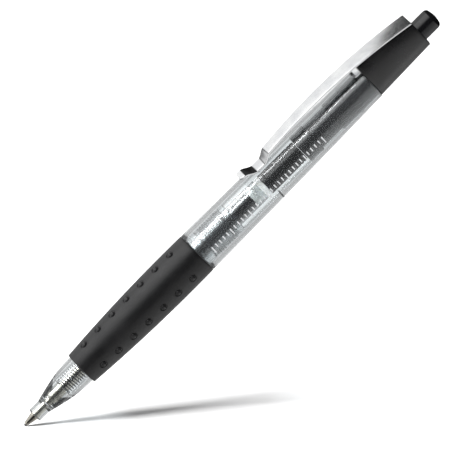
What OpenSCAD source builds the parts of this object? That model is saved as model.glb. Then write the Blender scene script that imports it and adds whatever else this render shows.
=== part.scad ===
// Retractable gel pen with a clear barrel, a rubber grip and a pressed metal clip.
// Millimetres. The pen stands along +Z, the writing ball's point is the origin, and the clip is on -Y.
// It is drawn in its writing position, with the tip out and the button down.

/* [Refill] */
// Overall length of the refill, ball to rear end
refill_len = 98.1; // [97.6:0.1:98.4]
// Radius of the refill's tube
refill_r = 2.95; // [2.85:0.01:3.00]
// Wall of the refill's tube
refill_wall = 0.5; // [0.4:0.05:0.6]
// Radius of the writing ball
ball_r = 0.35; // [0.25:0.05:0.40]
// Radius of the metal tip behind its cone
tip_r = 1.17; // [1.10:0.01:1.19]
// Length of the metal tip's cone
tip_cone_len = 3.6; // [3.2:0.1:3.9]
// Height of the shoulder that the return spring pushes on
shoulder_z = 28; // [27:0.5:32]
// Radius of the tip holder inside the return spring
holder_r = 1.65; // [1.5:0.05:1.75]
// Top of the ink column
ink_top_z = 81.3; // [40:0.1:81.4]
// Depth of grease that follows the ink
follower_len = 1.5; // [0.8:0.1:1.5]
// Height of the joint between the tube and its white plug
plug_z = 84.2; // [83.5:0.1:84.6]
// Length of the white plug's collar
plug_len = 1.5; // [1:0.1:2]

/* [Return spring] */
// Height of the seat that the spring stands on
spring_seat_z = 13.7; // [13.5:0.1:14]
// Outer radius of the spring
spring_r = 2.3; // [2.25:0.01:2.35]
// Diameter of the spring's wire
wire_d = 0.3; // [0.25:0.01:0.35]
// Number of turns
spring_turns = 22; // [16:1:24]

/* [Front section] */
// Height of the nose's front face
nose_z = 3.6; // [3.4:0.1:3.8]
// Radius of the collar at the front of the nose
collar_r = 2.0; // [1.9:0.01:2.1]
// Rear end of the collar
collar_top_z = 6.8; // [6.6:0.1:7]
// Height of the kink where the nose turns slimmer
kink_z = 12.7; // [12.2:0.1:13.2]
// Radius at the kink
kink_r = 3.42; // [3.4:0.01:3.5]
// Radius of the nose where the grip starts
nose_rear_r = 4.1; // [4.05:0.01:4.2]
// Rear end of the threaded tail
tail_top_z = 74.5; // [74:0.1:75]
// First height of the screw thread
thread_z = 65.2; // [65:0.1:65.5]
// Spacing of the screw thread
thread_pitch = 0.8; // [0.8:0.05:0.85]
// Number of thread turns
thread_turns = 9; // [7:1:9]
// Radius over the thread's crests
thread_r = 4.45; // [4.40:0.01:4.46]
// Height of the thread's profile
thread_depth = 0.4; // [0.3:0.05:0.45]

/* [Grip] */
// Front end of the grip
grip_z = 20.3; // [20.2:0.1:21]
// Largest radius of the grip
grip_r = 5.96; // [5.9:0.01:6.05]
// Height of the grip's largest radius
grip_swell_z = 54; // [53:0.5:55]
// Radius of the arc along the grip's side
grip_arc_r = 445; // [430:5:470]
// Diameter of one raised nub
nub_d = 1.4; // [1.2:0.1:1.6]
// Height of a nub above the grip
nub_h = 0.32; // [0.2:0.02:0.36]
// Height of the lowest row of nubs
nub_z = 25.2; // [24.5:0.1:26]
// Spacing of the nubs along the grip
nub_pitch = 5.2; // [4.8:0.1:5.3]
// Nubs in one file
nubs_per_file = 7; // [5:1:7]
// Files of nubs round the grip
nub_files = 4; // [3:1:6]

/* [Barrel] */
// Front end of the barrel
barrel_z = 61.6; // [61.4:0.1:61.8]
// Rear end of the barrel
barrel_top_z = 122.7; // [122.5:0.1:122.9]
// Radius of the barrel's arc where it would be widest
barrel_swell_r = 5.91; // [5.88:0.01:5.95]
// Height where the barrel's arc would be widest
barrel_swell_z = 41.3; // [38:0.1:44]
// Radius of the arc along the barrel's side
barrel_arc_r = 3378; // [3300:2:3500]
// Radius of the bore at the thread
bore_front_r = 4.55; // [4.53:0.01:4.6]
// Radius of the bore at the mechanism
bore_rear_r = 4.35; // [4.35:0.01:4.37]
// Height of the step between the two bores
bore_step_z = 87.2; // [86:0.1:90]

/* [Mechanism] */
// Stroke of the button from the writing position to the retracted one
stroke = 6.0; // [5.5:0.1:6.0]
// Radius of the thrust cup that slides in the barrel
cup_r = 4.27; // [4.25:0.01:4.28]
// Length of the thrust cup
cup_len = 4.6; // [4.4:0.1:4.7]
// Radius of the rotor's neck
rotor_r = 3.71; // [3.69:0.01:3.73]
// Rear face of the rotor's crown
rotor_top_z = 114.6; // [114.4:0.1:114.7]
// Front end of the fixed cam sleeve
sleeve_z = 109.8; // [109.7:0.1:110.2]
// Outer radius of the cam sleeve
sleeve_r = 4.2; // [4.19:0.01:4.22]
// Bore of the cam sleeve round the rotor
sleeve_bore_r = 3.79; // [3.79:0.01:3.80]
// Width of one guide groove in the cam sleeve
groove_w = 1.3; // [1.1:0.1:1.5]
// Number of guide grooves
groove_n = 4; // [3:1:6]

/* [Button] */
// Radius of the button
button_r = 2.86; // [2.80:0.01:2.88]
// Rear end of the button, with the tip out
pen_len = 146.2; // [145.5:0.1:146.8]
// Rounding of the button's rear edge
button_round = 1.2; // [1:0.05:1.4]
// Radius of the crown that pushes the rotor
crown_r = 3.68; // [3.66:0.01:3.70]

/* [End cap] */
// Radius of the cap at its front end
cap_front_r = 4.77; // [4.7:0.01:4.85]
// Radius of the cap at its rear end
cap_rear_r = 4.33; // [4.3:0.01:4.4]
// Rear end of the cap
cap_top_z = 140.4; // [140.2:0.1:140.6]
// Rounding of the cap's two rims
cap_round = 0.25; // [0.1:0.05:0.35]

/* [Clip] */
// Height of the clip's highest point above the pen's axis
clip_peak_h = 8.98; // [8.9:0.01:9.1]
// Position of that highest point along the pen
clip_peak_z = 109; // [108:0.5:110]
// Radius of the clip's long arc
clip_arc_r = 148; // [145:1:152]
// Thickness of the clip's sheet
clip_t = 0.55; // [0.5:0.01:0.58]
// Width of the clip at the cap's rear end
clip_rear_w = 4.8; // [4.7:0.05:5]
// Width of the clip at its tip
clip_tip_w = 3.15; // [3:0.05:3.4]
// Front end of the clip's raised lip
clip_tip_z = 82.3; // [82:0.1:82.8]
// Outer face's height where the clip nearly touches the barrel
clip_low_h = 6.31; // [6.3:0.01:6.4]
// Outer face's height at the raised lip
clip_lip_h = 8.22; // [8:0.01:8.4]
// Radius of the lip's rounded corners
clip_corner_r = 0.9; // [0.6:0.1:1.2]

/* [Hidden] */
$fn = 96;

// Gap that keeps two solids of one body from sharing a face inside each other.
skin = 0.01;
// Radial clearance of a sliding fit.
slip = 0.08;
// How far a cut runs past the face it starts from.
past = 1;

// Steps along a curved side.
side_steps = 14;

tube_bore_r = refill_r - refill_wall;
plug_top_z = plug_z + plug_len;
// Spigots of the shoulder and of the plug, pushed into the tube's bore.
spigot_r = tube_bore_r - skin;
shoulder_len = 1.0;
spigot_len = 3.0;
plug_spigot_len = plug_z - ink_top_z - follower_len;
end_spigot_len = 2.5;
plug_hole_r = 0.5;
end_bore_r = 1.5;
end_chamfer = 0.3;
ink_z = shoulder_z + shoulder_len + spigot_len;

// The metal tip's inside: the ball's seat, the ink's channel and the tail in the holder.
ball_gap = 0.02;
tip_rim_z = 0.42;
tip_rim_r = 0.44;
tip_crimp = [0.62, 0.95];
tip_channel_r = 0.30;
tip_tail_z = 9.5;
tip_tail_r = 1.0;
tip_top_z = 16;
holder_channel_r = 0.6;

// The nose's bores: round the tip, round the holder, and the spring's chamber.
nose_bore_r = tip_r + slip;
holder_bore_z = 8.3;
holder_bore_r = 2.0;
bore_run_in = 0.6;
nose_chamfer = 0.35;
chamber_r = 3.0;
chamber_top_z = 25.5;
refill_bore_r = 3.3;
nose_face_r = collar_r - 0.3;
nose_swell_z = 16;
nose_swell_r = 3.95;

// The grip's seat on the front section.
seat_front_r = 4.0;
seat_rear_r = 4.95;
pilot_r = bore_front_r - slip;
pilot_len = 2.8;
thread_root_r = thread_r - thread_depth;
tail_r = 4.3;
tail_chamfer = 0.35;
thread_top_z = thread_z + thread_turns * thread_pitch;

// The mechanism's levels.
cup_z = refill_len + 0.1;
cup_top_z = cup_z + cup_len;
cup_socket_r = 2.1;
cup_chamfer = 0.25;
rotor_pin_r = 2.04;
rotor_pin_len = 2.4;
rotor_z = cup_top_z + 0.05;
tooth_n = 8;
tooth_h = 0.7;
tooth_w = 1.6;
tooth_lean = 0.3;
crown_z = rotor_top_z + 0.3;
crown_len = 2.8;
// The button's shallow domed end, its hollow and the hollow in the rotor's rear end.
button_dome_h = 0.25;
button_hollow_r = button_r - 0.6;
button_hollow_len = 24;
rotor_hollow_len = 3;
sleeve_step_z = crown_z + crown_len + stroke + 0.3;
sleeve_top_z = 136;
sleeve_rear_r = 3.75;
sleeve_guide_r = 3.1;
groove_r = sleeve_bore_r + 0.2;
spline_r = groove_r - 0.06;
snap_z = 115;
snap_len = 2;

// The cap's inside, and the boss that carries the clip.
cap_wall_z = cap_top_z - 1.5;
cap_hole_r = button_r + slip;
boss_side_gap = 0.15;
tang_t = 0.5;
tang_w = 3.4;
tang_h = 5.03;
tang_z = 120.3;
tang_top_z = cap_top_z - 1.2;

// The clip's bends, counted from its tip.
lip_top_z = 83.6;
low_front_z = 87.0;
low_rear_z = 89.0;
bend_top_z = 92.2;
clip_steps = 24;
bend_steps = 10;

// Radius of a long shallow arc at height z, from where it is widest.
function arc_r(z, swell_r, swell_z, side_r) = swell_r - pow(z - swell_z, 2) / (2 * side_r);
function grip_side(z) = arc_r(z, grip_r, grip_swell_z, grip_arc_r);
function barrel_side(z) = arc_r(z, barrel_swell_r, barrel_swell_z, barrel_arc_r);

// A number that eases from 0 at a to 1 at b.
function ease(z, a, b) = let (t = min(1, max(0, (z - a) / (b - a)))) t * t * (3 - 2 * t);

// Height of the clip's outer face above the axis, at z along the pen.
function clip_arc_h(z) = clip_peak_h - pow(z - clip_peak_z, 2) / (2 * clip_arc_r);
function clip_rise_h(z) = clip_lip_h - 0.12 * (z - clip_tip_z) / (lip_top_z - clip_tip_z);
function clip_h(z) =
    z >= bend_top_z ? clip_arc_h(z)
    : z >= low_rear_z ? clip_low_h
        + (clip_arc_h(bend_top_z) - clip_low_h) * ease(z, low_rear_z, bend_top_z)
    : z >= low_front_z ? clip_low_h
    : z >= lip_top_z ? clip_low_h
        + (clip_rise_h(lip_top_z) - clip_low_h) * (1 - ease(z, lip_top_z, low_front_z))
    : clip_rise_h(z);
function clip_slope(z) = atan((clip_h(z + 0.01) - clip_h(z - 0.01)) / 0.02);

// Stations from z0 to z1 in n equal steps.
function stations(z0, z1, n) = [for (i = [0 : n]) z0 + (z1 - z0) * i / n];
function outer_points(zs) = [for (z = zs) [clip_h(z), z]];
function inner_points(zs, t) =
    [for (i = [len(zs) - 1 : -1 : 0])
        [clip_h(zs[i]) - t * cos(clip_slope(zs[i])), zs[i] + t * sin(clip_slope(zs[i]))]];

// A profile of height above the axis against z, made a slab of width w across the clip's side.
module side_slab(w) {
    rotate([90, 0, -90]) linear_extrude(w, center = true) children();
}

// A profile of x against z, made a slab from the axis out to height h on the clip's side.
module plan_slab(h) {
    rotate([90, 0, 0]) linear_extrude(h) children();
}

// A tube or disc between two heights.
module ring(r_out, r_in, z0, z1) {
    translate([0, 0, z0]) difference() {
        cylinder(r = r_out, h = z1 - z0);
        translate([0, 0, -past]) cylinder(r = r_in, h = z1 - z0 + 2 * past);
    }
}

// V-shaped cam notches across a ring's face at height z; dir is 1 for a rear face, -1 for a front one.
module cam_notches(z, dir) {
    // Each flank runs on past the face at its own slope.
    over = 0.3;
    grow = (tooth_h + over) / tooth_h;
    for (i = [0 : tooth_n - 1])
        rotate([0, 0, 360 / tooth_n * i]) translate([0, 0, z]) rotate([90, 0, 90])
            linear_extrude(crown_r + past)
                polygon([[tooth_lean - (tooth_w / 2 + tooth_lean) * grow, dir * over],
                         [tooth_lean + (tooth_w / 2 - tooth_lean) * grow, dir * over],
                         [tooth_lean, -dir * tooth_h]]);
}

// Bars of width w that reach from inside the crown out to radius r, one at each guide groove.
module guide_bars(r, w, z0, z1) {
    bar_in_r = 3;
    intersection() {
        translate([0, 0, z0]) cylinder(r = r, h = z1 - z0);
        for (i = [0 : groove_n - 1])
            rotate([0, 0, 180 / tooth_n + 360 / groove_n * i])
                translate([bar_in_r, -w / 2, z0 - past]) cube([r, w, z1 - z0 + 2 * past]);
    }
}

// Tungsten carbide writing ball.
module ball() {
    color("#b9bcc2") translate([0, 0, ball_r]) sphere(r = ball_r);
}

// Turned metal tip with a crimped seat round the ball.
module tip_cone() {
    color("#d3d2cd") difference() {
        rotate_extrude()
            polygon([[0, tip_rim_z], [tip_rim_r, tip_rim_z], tip_crimp, [tip_r, tip_cone_len],
                     [tip_r, tip_tail_z], [tip_tail_r, tip_tail_z], [tip_tail_r, tip_top_z],
                     [0, tip_top_z]]);
        translate([0, 0, ball_r]) sphere(r = ball_r + ball_gap);
        translate([0, 0, ball_r]) cylinder(r = tip_channel_r, h = tip_top_z);
    }
}

// Metal holder that joins the tip to the refill's tube; its shoulder takes the spring.
module tip_holder() {
    lead_in_r = 0.35;
    lead_in_len = 0.8;
    color("#cfcec8") rotate_extrude()
        polygon([[tip_tail_r, tip_tail_z], [holder_r - lead_in_r, tip_tail_z],
                 [holder_r, tip_tail_z + lead_in_len], [holder_r, shoulder_z], [refill_r, shoulder_z],
                 [refill_r, shoulder_z + shoulder_len], [spigot_r, shoulder_z + shoulder_len],
                 [spigot_r, ink_z], [holder_channel_r, ink_z], [holder_channel_r, tip_top_z],
                 [tip_tail_r, tip_top_z]]);
}

// Clear tube that holds the ink.
module refill_tube() {
    color("#dfe3e4", 0.4) ring(refill_r, tube_bore_r, shoulder_z + shoulder_len, plug_z);
}

// Column of black gel ink.
module ink() {
    color("#1b1b1d") translate([0, 0, ink_z]) cylinder(r = spigot_r, h = ink_top_z - ink_z);
}

// Clear grease that follows the ink down the tube.
module ink_follower() {
    color("#e4e4da", 0.7) translate([0, 0, ink_top_z]) cylinder(r = spigot_r, h = follower_len);
}

// White plug between the tube and the end piece, with an air hole.
module refill_plug() {
    color("#f2f2f0") rotate_extrude()
        polygon([[plug_hole_r, plug_z - plug_spigot_len], [spigot_r, plug_z - plug_spigot_len],
                 [spigot_r, plug_z], [refill_r, plug_z], [refill_r, plug_top_z],
                 [spigot_r, plug_top_z], [spigot_r, plug_top_z + end_spigot_len],
                 [plug_hole_r, plug_top_z + end_spigot_len]]);
}

// Black end piece that brings the refill to its full length.
module refill_end() {
    color("#1d1d1f") rotate_extrude()
        polygon([[tube_bore_r, plug_top_z], [refill_r, plug_top_z],
                 [refill_r, refill_len - end_chamfer], [refill_r - end_chamfer, refill_len],
                 [end_bore_r, refill_len], [end_bore_r, plug_top_z + end_spigot_len + 1],
                 [tube_bore_r, plug_top_z + end_spigot_len]]);
}

// Return spring: round wire swept along a helix, with a closed turn at each end.
spring_len = shoulder_z - spring_seat_z - wire_d;
spring_mean_r = spring_r - wire_d / 2;
closed_pitch = wire_d * 1.08;
open_pitch = (spring_len - 2 * closed_pitch) / (spring_turns - 2);
turn_steps = 20;
wire_sides = 6;
function coil_z(t) =
    t < 1 ? t * closed_pitch
    : t > spring_turns - 1 ? spring_len - (spring_turns - t) * closed_pitch
    : closed_pitch + (t - 1) * open_pitch;
coil_rings = spring_turns * turn_steps;
coil_points = [for (i = [0 : coil_rings], k = [0 : wire_sides - 1])
    let (t = i / turn_steps, a = 360 * t, b = 360 * k / wire_sides,
         r = spring_mean_r + wire_d / 2 * cos(b))
    [r * cos(a), r * sin(a), spring_seat_z + wire_d / 2 + coil_z(t) + wire_d / 2 * sin(b)]];
coil_sides = [for (i = [0 : coil_rings - 1], k = [0 : wire_sides - 1])
    let (j = (k + 1) % wire_sides, a = i * wire_sides, b = a + wire_sides)
    [a + k, a + j, b + j, b + k]];
coil_start = [for (k = [wire_sides - 1 : -1 : 0]) k];
coil_end = [for (k = [0 : wire_sides - 1]) coil_rings * wire_sides + k];
module return_spring() {
    color("#c9ccd0") polyhedron(coil_points, concat(coil_sides, [coil_start, coil_end]));
}

// One turn of the thread's outline, from its lower root to its upper root.
function thread_points(z) = [[thread_root_r, z + 0.05 * thread_pitch], [thread_r, z + 0.4 * thread_pitch],
                             [thread_r, z + 0.6 * thread_pitch], [thread_root_r, z + 0.95 * thread_pitch]];

// Clear moulded front section: nose, seat for the grip, and a threaded tail that screws into the barrel.
module front_section() {
    color("#eef2f3", 0.4) rotate_extrude()
        polygon(concat(
            [[nose_bore_r, nose_z], [nose_face_r, nose_z], [collar_r, nose_z + nose_chamfer],
             [collar_r, collar_top_z], [kink_r, kink_z], [nose_swell_r, nose_swell_z],
             [nose_rear_r, grip_z], [seat_front_r, grip_z], [seat_rear_r, barrel_z],
             [pilot_r, barrel_z], [pilot_r, barrel_z + pilot_len],
             [thread_root_r, barrel_z + pilot_len + 0.3]],
            [for (i = [0 : thread_turns - 1], p = thread_points(thread_z + i * thread_pitch)) p],
            [[thread_root_r, thread_top_z + 0.2], [tail_r, thread_top_z + 0.4],
             [tail_r, tail_top_z - tail_chamfer], [tail_r - tail_chamfer, tail_top_z],
             [refill_bore_r, tail_top_z], [refill_bore_r, chamber_top_z + 0.5],
             [chamber_r, chamber_top_z], [chamber_r, spring_seat_z],
             [holder_bore_r, spring_seat_z], [holder_bore_r, holder_bore_z],
             [nose_bore_r, holder_bore_z - bore_run_in]]));
}

// The grip's seat as a solid of revolution, run on past both of the grip's ends.
module grip_seat() {
    slope = (seat_rear_r - seat_front_r) / (barrel_z - grip_z);
    rotate_extrude()
        polygon([[0, grip_z - past], [seat_front_r - slope * past, grip_z - past],
                 [seat_rear_r + slope * past, barrel_z + past], [0, barrel_z + past]]);
}

// Rubber sleeve with files of raised nubs.
module grip() {
    edge = 0.25;
    // A nub is a cap of a ball that is sunk in the grip.
    nub_ball_r = (pow(nub_d / 2, 2) + pow(nub_h, 2)) / (2 * nub_h);
    color("#2a2b2d") difference() {
        union() {
            rotate_extrude()
                polygon(concat(
                    [[0, grip_z], [grip_side(grip_z) - edge, grip_z]],
                    [for (z = stations(grip_z + edge, barrel_z - edge, side_steps)) [grip_side(z), z]],
                    [[grip_side(barrel_z) - edge, barrel_z], [0, barrel_z]]));
            for (f = [0 : nub_files - 1], i = [0 : nubs_per_file - 1]) {
                z = nub_z + i * nub_pitch;
                rotate([0, 0, 360 / nub_files * f])
                    translate([0, nub_ball_r - nub_h - grip_side(z), z]) sphere(r = nub_ball_r, $fn = 32);
            }
        }
        grip_seat();
    }
}

// Clear moulded rear barrel.
module barrel() {
    color("#f0f4f5", 0.35) rotate_extrude()
        polygon(concat(
            [[bore_front_r, barrel_z]],
            [for (z = stations(barrel_z, barrel_top_z, side_steps)) [barrel_side(z), z]],
            [[bore_rear_r, barrel_top_z], [bore_rear_r, bore_step_z],
             [bore_front_r, bore_step_z - 0.3]]));
}

// Thrust cup that pushes the refill and slides in the barrel without turning.
module thrust_cup() {
    socket_z = cup_top_z - rotor_pin_len - 0.1;
    color("#1c1c1e") rotate_extrude()
        polygon([[0, cup_z], [cup_r - cup_chamfer, cup_z], [cup_r, cup_z + cup_chamfer],
                 [cup_r, cup_top_z - cup_chamfer], [cup_r - cup_chamfer, cup_top_z],
                 [cup_socket_r, cup_top_z], [cup_socket_r, socket_z], [0, socket_z]]);
}

// Rotor that turns one step at each click.
module rotor() {
    color("#232326") difference() {
        union() {
            translate([0, 0, cup_top_z - rotor_pin_len])
                cylinder(r = rotor_pin_r, h = rotor_pin_len + rotor_z - cup_top_z + skin);
            translate([0, 0, rotor_z]) cylinder(r = rotor_r, h = rotor_top_z - rotor_z);
        }
        translate([0, 0, rotor_top_z - rotor_hollow_len])
            cylinder(r = button_hollow_r, h = rotor_hollow_len + past);
        cam_notches(rotor_top_z, 1);
    }
}

// Fixed cam sleeve that joins the barrel to the cap and guides the button's splines.
module cam_sleeve() {
    color("#19191b") difference() {
        union() {
            translate([0, 0, sleeve_z]) cylinder(r = sleeve_r, h = sleeve_step_z - sleeve_z);
            translate([0, 0, snap_z]) cylinder(r = bore_rear_r - skin, h = snap_len);
            translate([0, 0, sleeve_step_z - skin])
                cylinder(r = sleeve_rear_r, h = sleeve_top_z - sleeve_step_z + skin);
        }
        translate([0, 0, sleeve_z - past])
            cylinder(r = sleeve_bore_r, h = sleeve_step_z - sleeve_z - 0.2 + past);
        translate([0, 0, sleeve_z - past]) cylinder(r = sleeve_guide_r, h = sleeve_top_z);
        guide_bars(groove_r, groove_w, sleeve_z - past, sleeve_step_z - 0.2);
    }
}

// Push button with its crown and splines, moulded in one piece.
module push_button() {
    rim_z = pen_len - button_dome_h;
    color("#141416") difference() {
        union() {
            rotate_extrude()
                polygon(concat(
                    [[0, crown_z], [crown_r, crown_z], [crown_r, crown_z + crown_len],
                     [button_r, crown_z + crown_len], [button_r, rim_z - button_round]],
                    [for (a = [10 : 10 : 80]) [button_r - button_round * (1 - cos(a)),
                                               rim_z - button_round * (1 - sin(a))]],
                    [[button_r - button_round, rim_z], [0, pen_len]]));
            guide_bars(spline_r, groove_w - 2 * slip, crown_z + tooth_h + 0.2, crown_z + crown_len - 0.2);
        }
        translate([0, 0, crown_z - past]) cylinder(r = button_hollow_r, h = button_hollow_len + past);
        cam_notches(crown_z, -1);
    }
}

// Side outline of the boss under the clip, from the axis up to the clip's inner face.
function boss_points() = let (zs = stations(barrel_top_z, cap_top_z, 10))
    concat([[0, cap_top_z], [0, barrel_top_z]],
           [for (z = zs) [clip_h(z) - clip_t / cos(clip_slope(z)), z]]);

// Black end cap with a boss on its clip side.
module end_cap() {
    color("#2b2b2d") difference() {
        union() {
            rotate_extrude()
                polygon([[0, barrel_top_z], [cap_front_r - cap_round, barrel_top_z],
                         [cap_front_r, barrel_top_z + cap_round], [cap_rear_r, cap_top_z - cap_round],
                         [cap_rear_r - cap_round, cap_top_z], [0, cap_top_z]]);
            intersection() {
                side_slab(clip_rear_w) polygon(boss_points());
                plan_slab(clip_peak_h) clip_plan(boss_side_gap);
            }
        }
        translate([0, 0, barrel_top_z - past])
            cylinder(r = sleeve_r, h = sleeve_step_z - barrel_top_z + past);
        translate([0, 0, barrel_top_z]) cylinder(r = sleeve_rear_r, h = cap_wall_z - barrel_top_z);
        translate([0, 0, barrel_top_z]) cylinder(r = cap_hole_r, h = cap_top_z);
        translate([0, -tang_h - tang_t / 2, (barrel_top_z - past + tang_top_z) / 2])
            cube([tang_w, tang_t, tang_top_z - barrel_top_z + past], center = true);
    }
}

// Plan outline of the whole clip, x against z, drawn in by inset on each long side.
module clip_plan(inset) {
    tip = clip_tip_w / 2 - inset;
    rear = clip_rear_w / 2 - inset;
    turn = [for (a = [0 : 15 : 90]) a];
    polygon(concat(
        [[rear, cap_top_z]],
        [for (a = turn) [tip - clip_corner_r * (1 - cos(a)), clip_tip_z + clip_corner_r * (1 - sin(a))]],
        [for (a = turn) [-tip + clip_corner_r * (1 - sin(a)), clip_tip_z + clip_corner_r * (1 - cos(a))]],
        [[-rear, cap_top_z]]));
}

// A stretch of the clip's bent sheet through the given stations.
module clip_sheet(zs) {
    intersection() {
        side_slab(clip_rear_w + past) polygon(concat(outer_points(zs), inner_points(zs, clip_t)));
        plan_slab(clip_peak_h + past) clip_plan(0);
    }
}

// Fixed end of the clip's strip on the cap, and the tang that is pushed into the cap's boss.
module clip_base() {
    color("#e4e5e8") union() {
        clip_sheet(stations(barrel_top_z, cap_top_z, clip_steps));
        translate([0, -tang_h - tang_t / 2, (tang_z + tang_top_z) / 2])
            cube([tang_w, tang_t, tang_top_z - tang_z], center = true);
    }
}

// Free arm of the clip, from the cap forward to its raised lip.
module clip_arm() {
    color("#e4e5e8") clip_sheet(concat(
        stations(clip_tip_z, lip_top_z, 2),
        [for (i = [1 : bend_steps]) lip_top_z + (low_front_z - lip_top_z) * i / bend_steps],
        [for (i = [0 : bend_steps]) low_rear_z + (bend_top_z - low_rear_z) * i / bend_steps],
        [for (i = [1 : clip_steps]) bend_top_z + (barrel_top_z - 0.05 - bend_top_z) * i / clip_steps]));
}

ball();
tip_cone();
tip_holder();
refill_tube();
ink();
ink_follower();
refill_plug();
refill_end();
return_spring();
front_section();
grip();
barrel();
thrust_cup();
rotor();
cam_sleeve();
push_button();
end_cap();
clip_base();
clip_arm();
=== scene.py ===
"""Looks of a retractable gel pen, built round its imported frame.

Every length is in millimetres until a mesh is made, where it becomes metres. The pen stands along +Z with
its writing point at the origin and its clip on -Y.
"""

import logging
import math
from collections.abc import Callable, Sequence
from dataclasses import dataclass, field
from enum import Enum

import bmesh
import bpy
from mathutils import Matrix, Vector

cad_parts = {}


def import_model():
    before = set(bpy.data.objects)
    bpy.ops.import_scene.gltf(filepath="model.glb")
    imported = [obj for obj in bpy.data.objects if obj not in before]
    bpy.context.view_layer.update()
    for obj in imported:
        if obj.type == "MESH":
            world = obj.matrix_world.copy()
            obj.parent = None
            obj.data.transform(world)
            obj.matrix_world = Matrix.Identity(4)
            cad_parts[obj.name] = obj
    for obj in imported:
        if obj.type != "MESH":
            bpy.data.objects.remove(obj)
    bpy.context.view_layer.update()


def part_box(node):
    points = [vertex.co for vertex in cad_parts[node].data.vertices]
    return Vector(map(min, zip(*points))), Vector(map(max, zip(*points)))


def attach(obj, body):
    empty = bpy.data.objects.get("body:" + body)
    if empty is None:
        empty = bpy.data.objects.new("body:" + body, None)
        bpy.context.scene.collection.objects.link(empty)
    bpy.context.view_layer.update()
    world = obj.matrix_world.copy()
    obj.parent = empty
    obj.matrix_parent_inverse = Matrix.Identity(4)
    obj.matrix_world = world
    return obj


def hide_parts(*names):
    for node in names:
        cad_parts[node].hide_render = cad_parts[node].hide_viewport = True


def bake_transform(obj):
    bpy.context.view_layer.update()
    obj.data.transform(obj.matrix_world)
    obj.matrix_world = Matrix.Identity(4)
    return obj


LOG = logging.getLogger("gel_pen")
MM = 0.001
TURN = 2 * math.pi

Tree = bpy.types.NodeTree
Node = bpy.types.Node
Socket = bpy.types.NodeSocket
Item = bpy.types.Object
Point = tuple[float, float, float]
Outline = list[tuple[float, float]]
Ring = list[Point]
Bands = tuple[tuple[float, float], ...]


# ---------------------------------------------------------------------------
# Small tools
# ---------------------------------------------------------------------------


def linear(code: str) -> tuple[float, float, float, float]:
    """Turn an sRGB hex colour into linear RGBA.

    Args:
        code: Six hex digits, with or without a leading #.

    Returns:
        Linear red, green, blue and an alpha of 1.
    """
    digits = code.lstrip("#")
    parts = [int(digits[i : i + 2], 16) / 255 for i in (0, 2, 4)]
    return (*(c / 12.92 if c <= 0.04045 else ((c + 0.055) / 1.055) ** 2.4 for c in parts), 1.0)


def add(tree: Tree, kind: str, inputs: dict | None = None, **settings: object) -> Node:
    """Add one node with its settings, values and links.

    Args:
        tree: The node tree to add to.
        kind: The node's type name.
        inputs: Input name or index to a value, or to the output socket that feeds it.
        **settings: The node's own properties.

    Returns:
        The new node.
    """
    node = tree.nodes.new(kind)
    for key, value in settings.items():
        setattr(node, key, value)
    for key, value in (inputs or {}).items():
        if isinstance(value, Socket):
            tree.links.new(value, node.inputs[key])
        else:
            node.inputs[key].default_value = value
    return node


def ease(value: float, low: float, high: float) -> float:
    """Smooth step from 0 at low to 1 at high."""
    t = min(1.0, max(0.0, (value - low) / (high - low)))
    return t * t * (3 - 2 * t)


def stations(low: float, high: float, count: int) -> list[float]:
    """Evenly spaced numbers from low to high, in count steps."""
    return [low + (high - low) * i / count for i in range(count + 1)]


@dataclass(frozen=True)
class Span:
    """Where a node lies along the pen, and its half width across it, in mm."""

    low: float
    high: float
    radius: float

    @classmethod
    def of(cls, node: str) -> "Span":
        """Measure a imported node.

        Args:
            node: The node's name.

        Returns:
            Its span.
        """
        low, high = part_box(node)
        return cls(low[2] / MM, high[2] / MM, (high[0] - low[0]) / 2 / MM)


# ---------------------------------------------------------------------------
# Meshes
# ---------------------------------------------------------------------------


def rounded(corners: Sequence[tuple[float, float, float]], steps: int = 4) -> Outline:
    """Round the corners of a closed outline.

    Args:
        corners: Radius, height and rounding of each corner, in order round the outline.
        steps: Steps along each rounding.

    Returns:
        The outline's points.
    """
    points: Outline = []
    count = len(corners)
    for i, (r, z, size) in enumerate(corners):
        here = Vector((r, z))
        if size <= 0:
            points.append((r, z))
            continue
        before = Vector(corners[i - 1][:2]) - here
        after = Vector(corners[(i + 1) % count][:2]) - here
        reach = min(size, 0.45 * before.length, 0.45 * after.length)
        start = here + before.normalized() * reach
        end = here + after.normalized() * reach
        # A point just before and just after the rounding keeps the straight sides' shading straight.
        points.append(tuple(start + before.normalized() * reach * 0.12))
        for t in stations(0, 1, steps):
            bend = start * (1 - t) ** 2 + here * (2 * t * (1 - t)) + end * t**2
            points.append((bend.x, bend.y))
        points.append(tuple(end + after.normalized() * reach * 0.12))
    return points


def circle(radius: float, height: float, angles: Sequence[float]) -> Ring:
    """Points of a ring round the pen's axis."""
    return [(radius * math.cos(a), radius * math.sin(a), height) for a in angles]


def even_angles(count: int = 96) -> list[float]:
    """Angles spaced evenly round a turn, from the clip's side."""
    return [-math.pi / 2 + TURN * i / count for i in range(count)]


def new_object(name: str, data: bpy.types.ID) -> Item:
    """Make an object and link it to the scene.

    Args:
        name: Name of the object.
        data: Its mesh, camera or light.

    Returns:
        The new object.
    """
    item = bpy.data.objects.new(name, data)
    bpy.context.scene.collection.objects.link(item)
    return item


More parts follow.
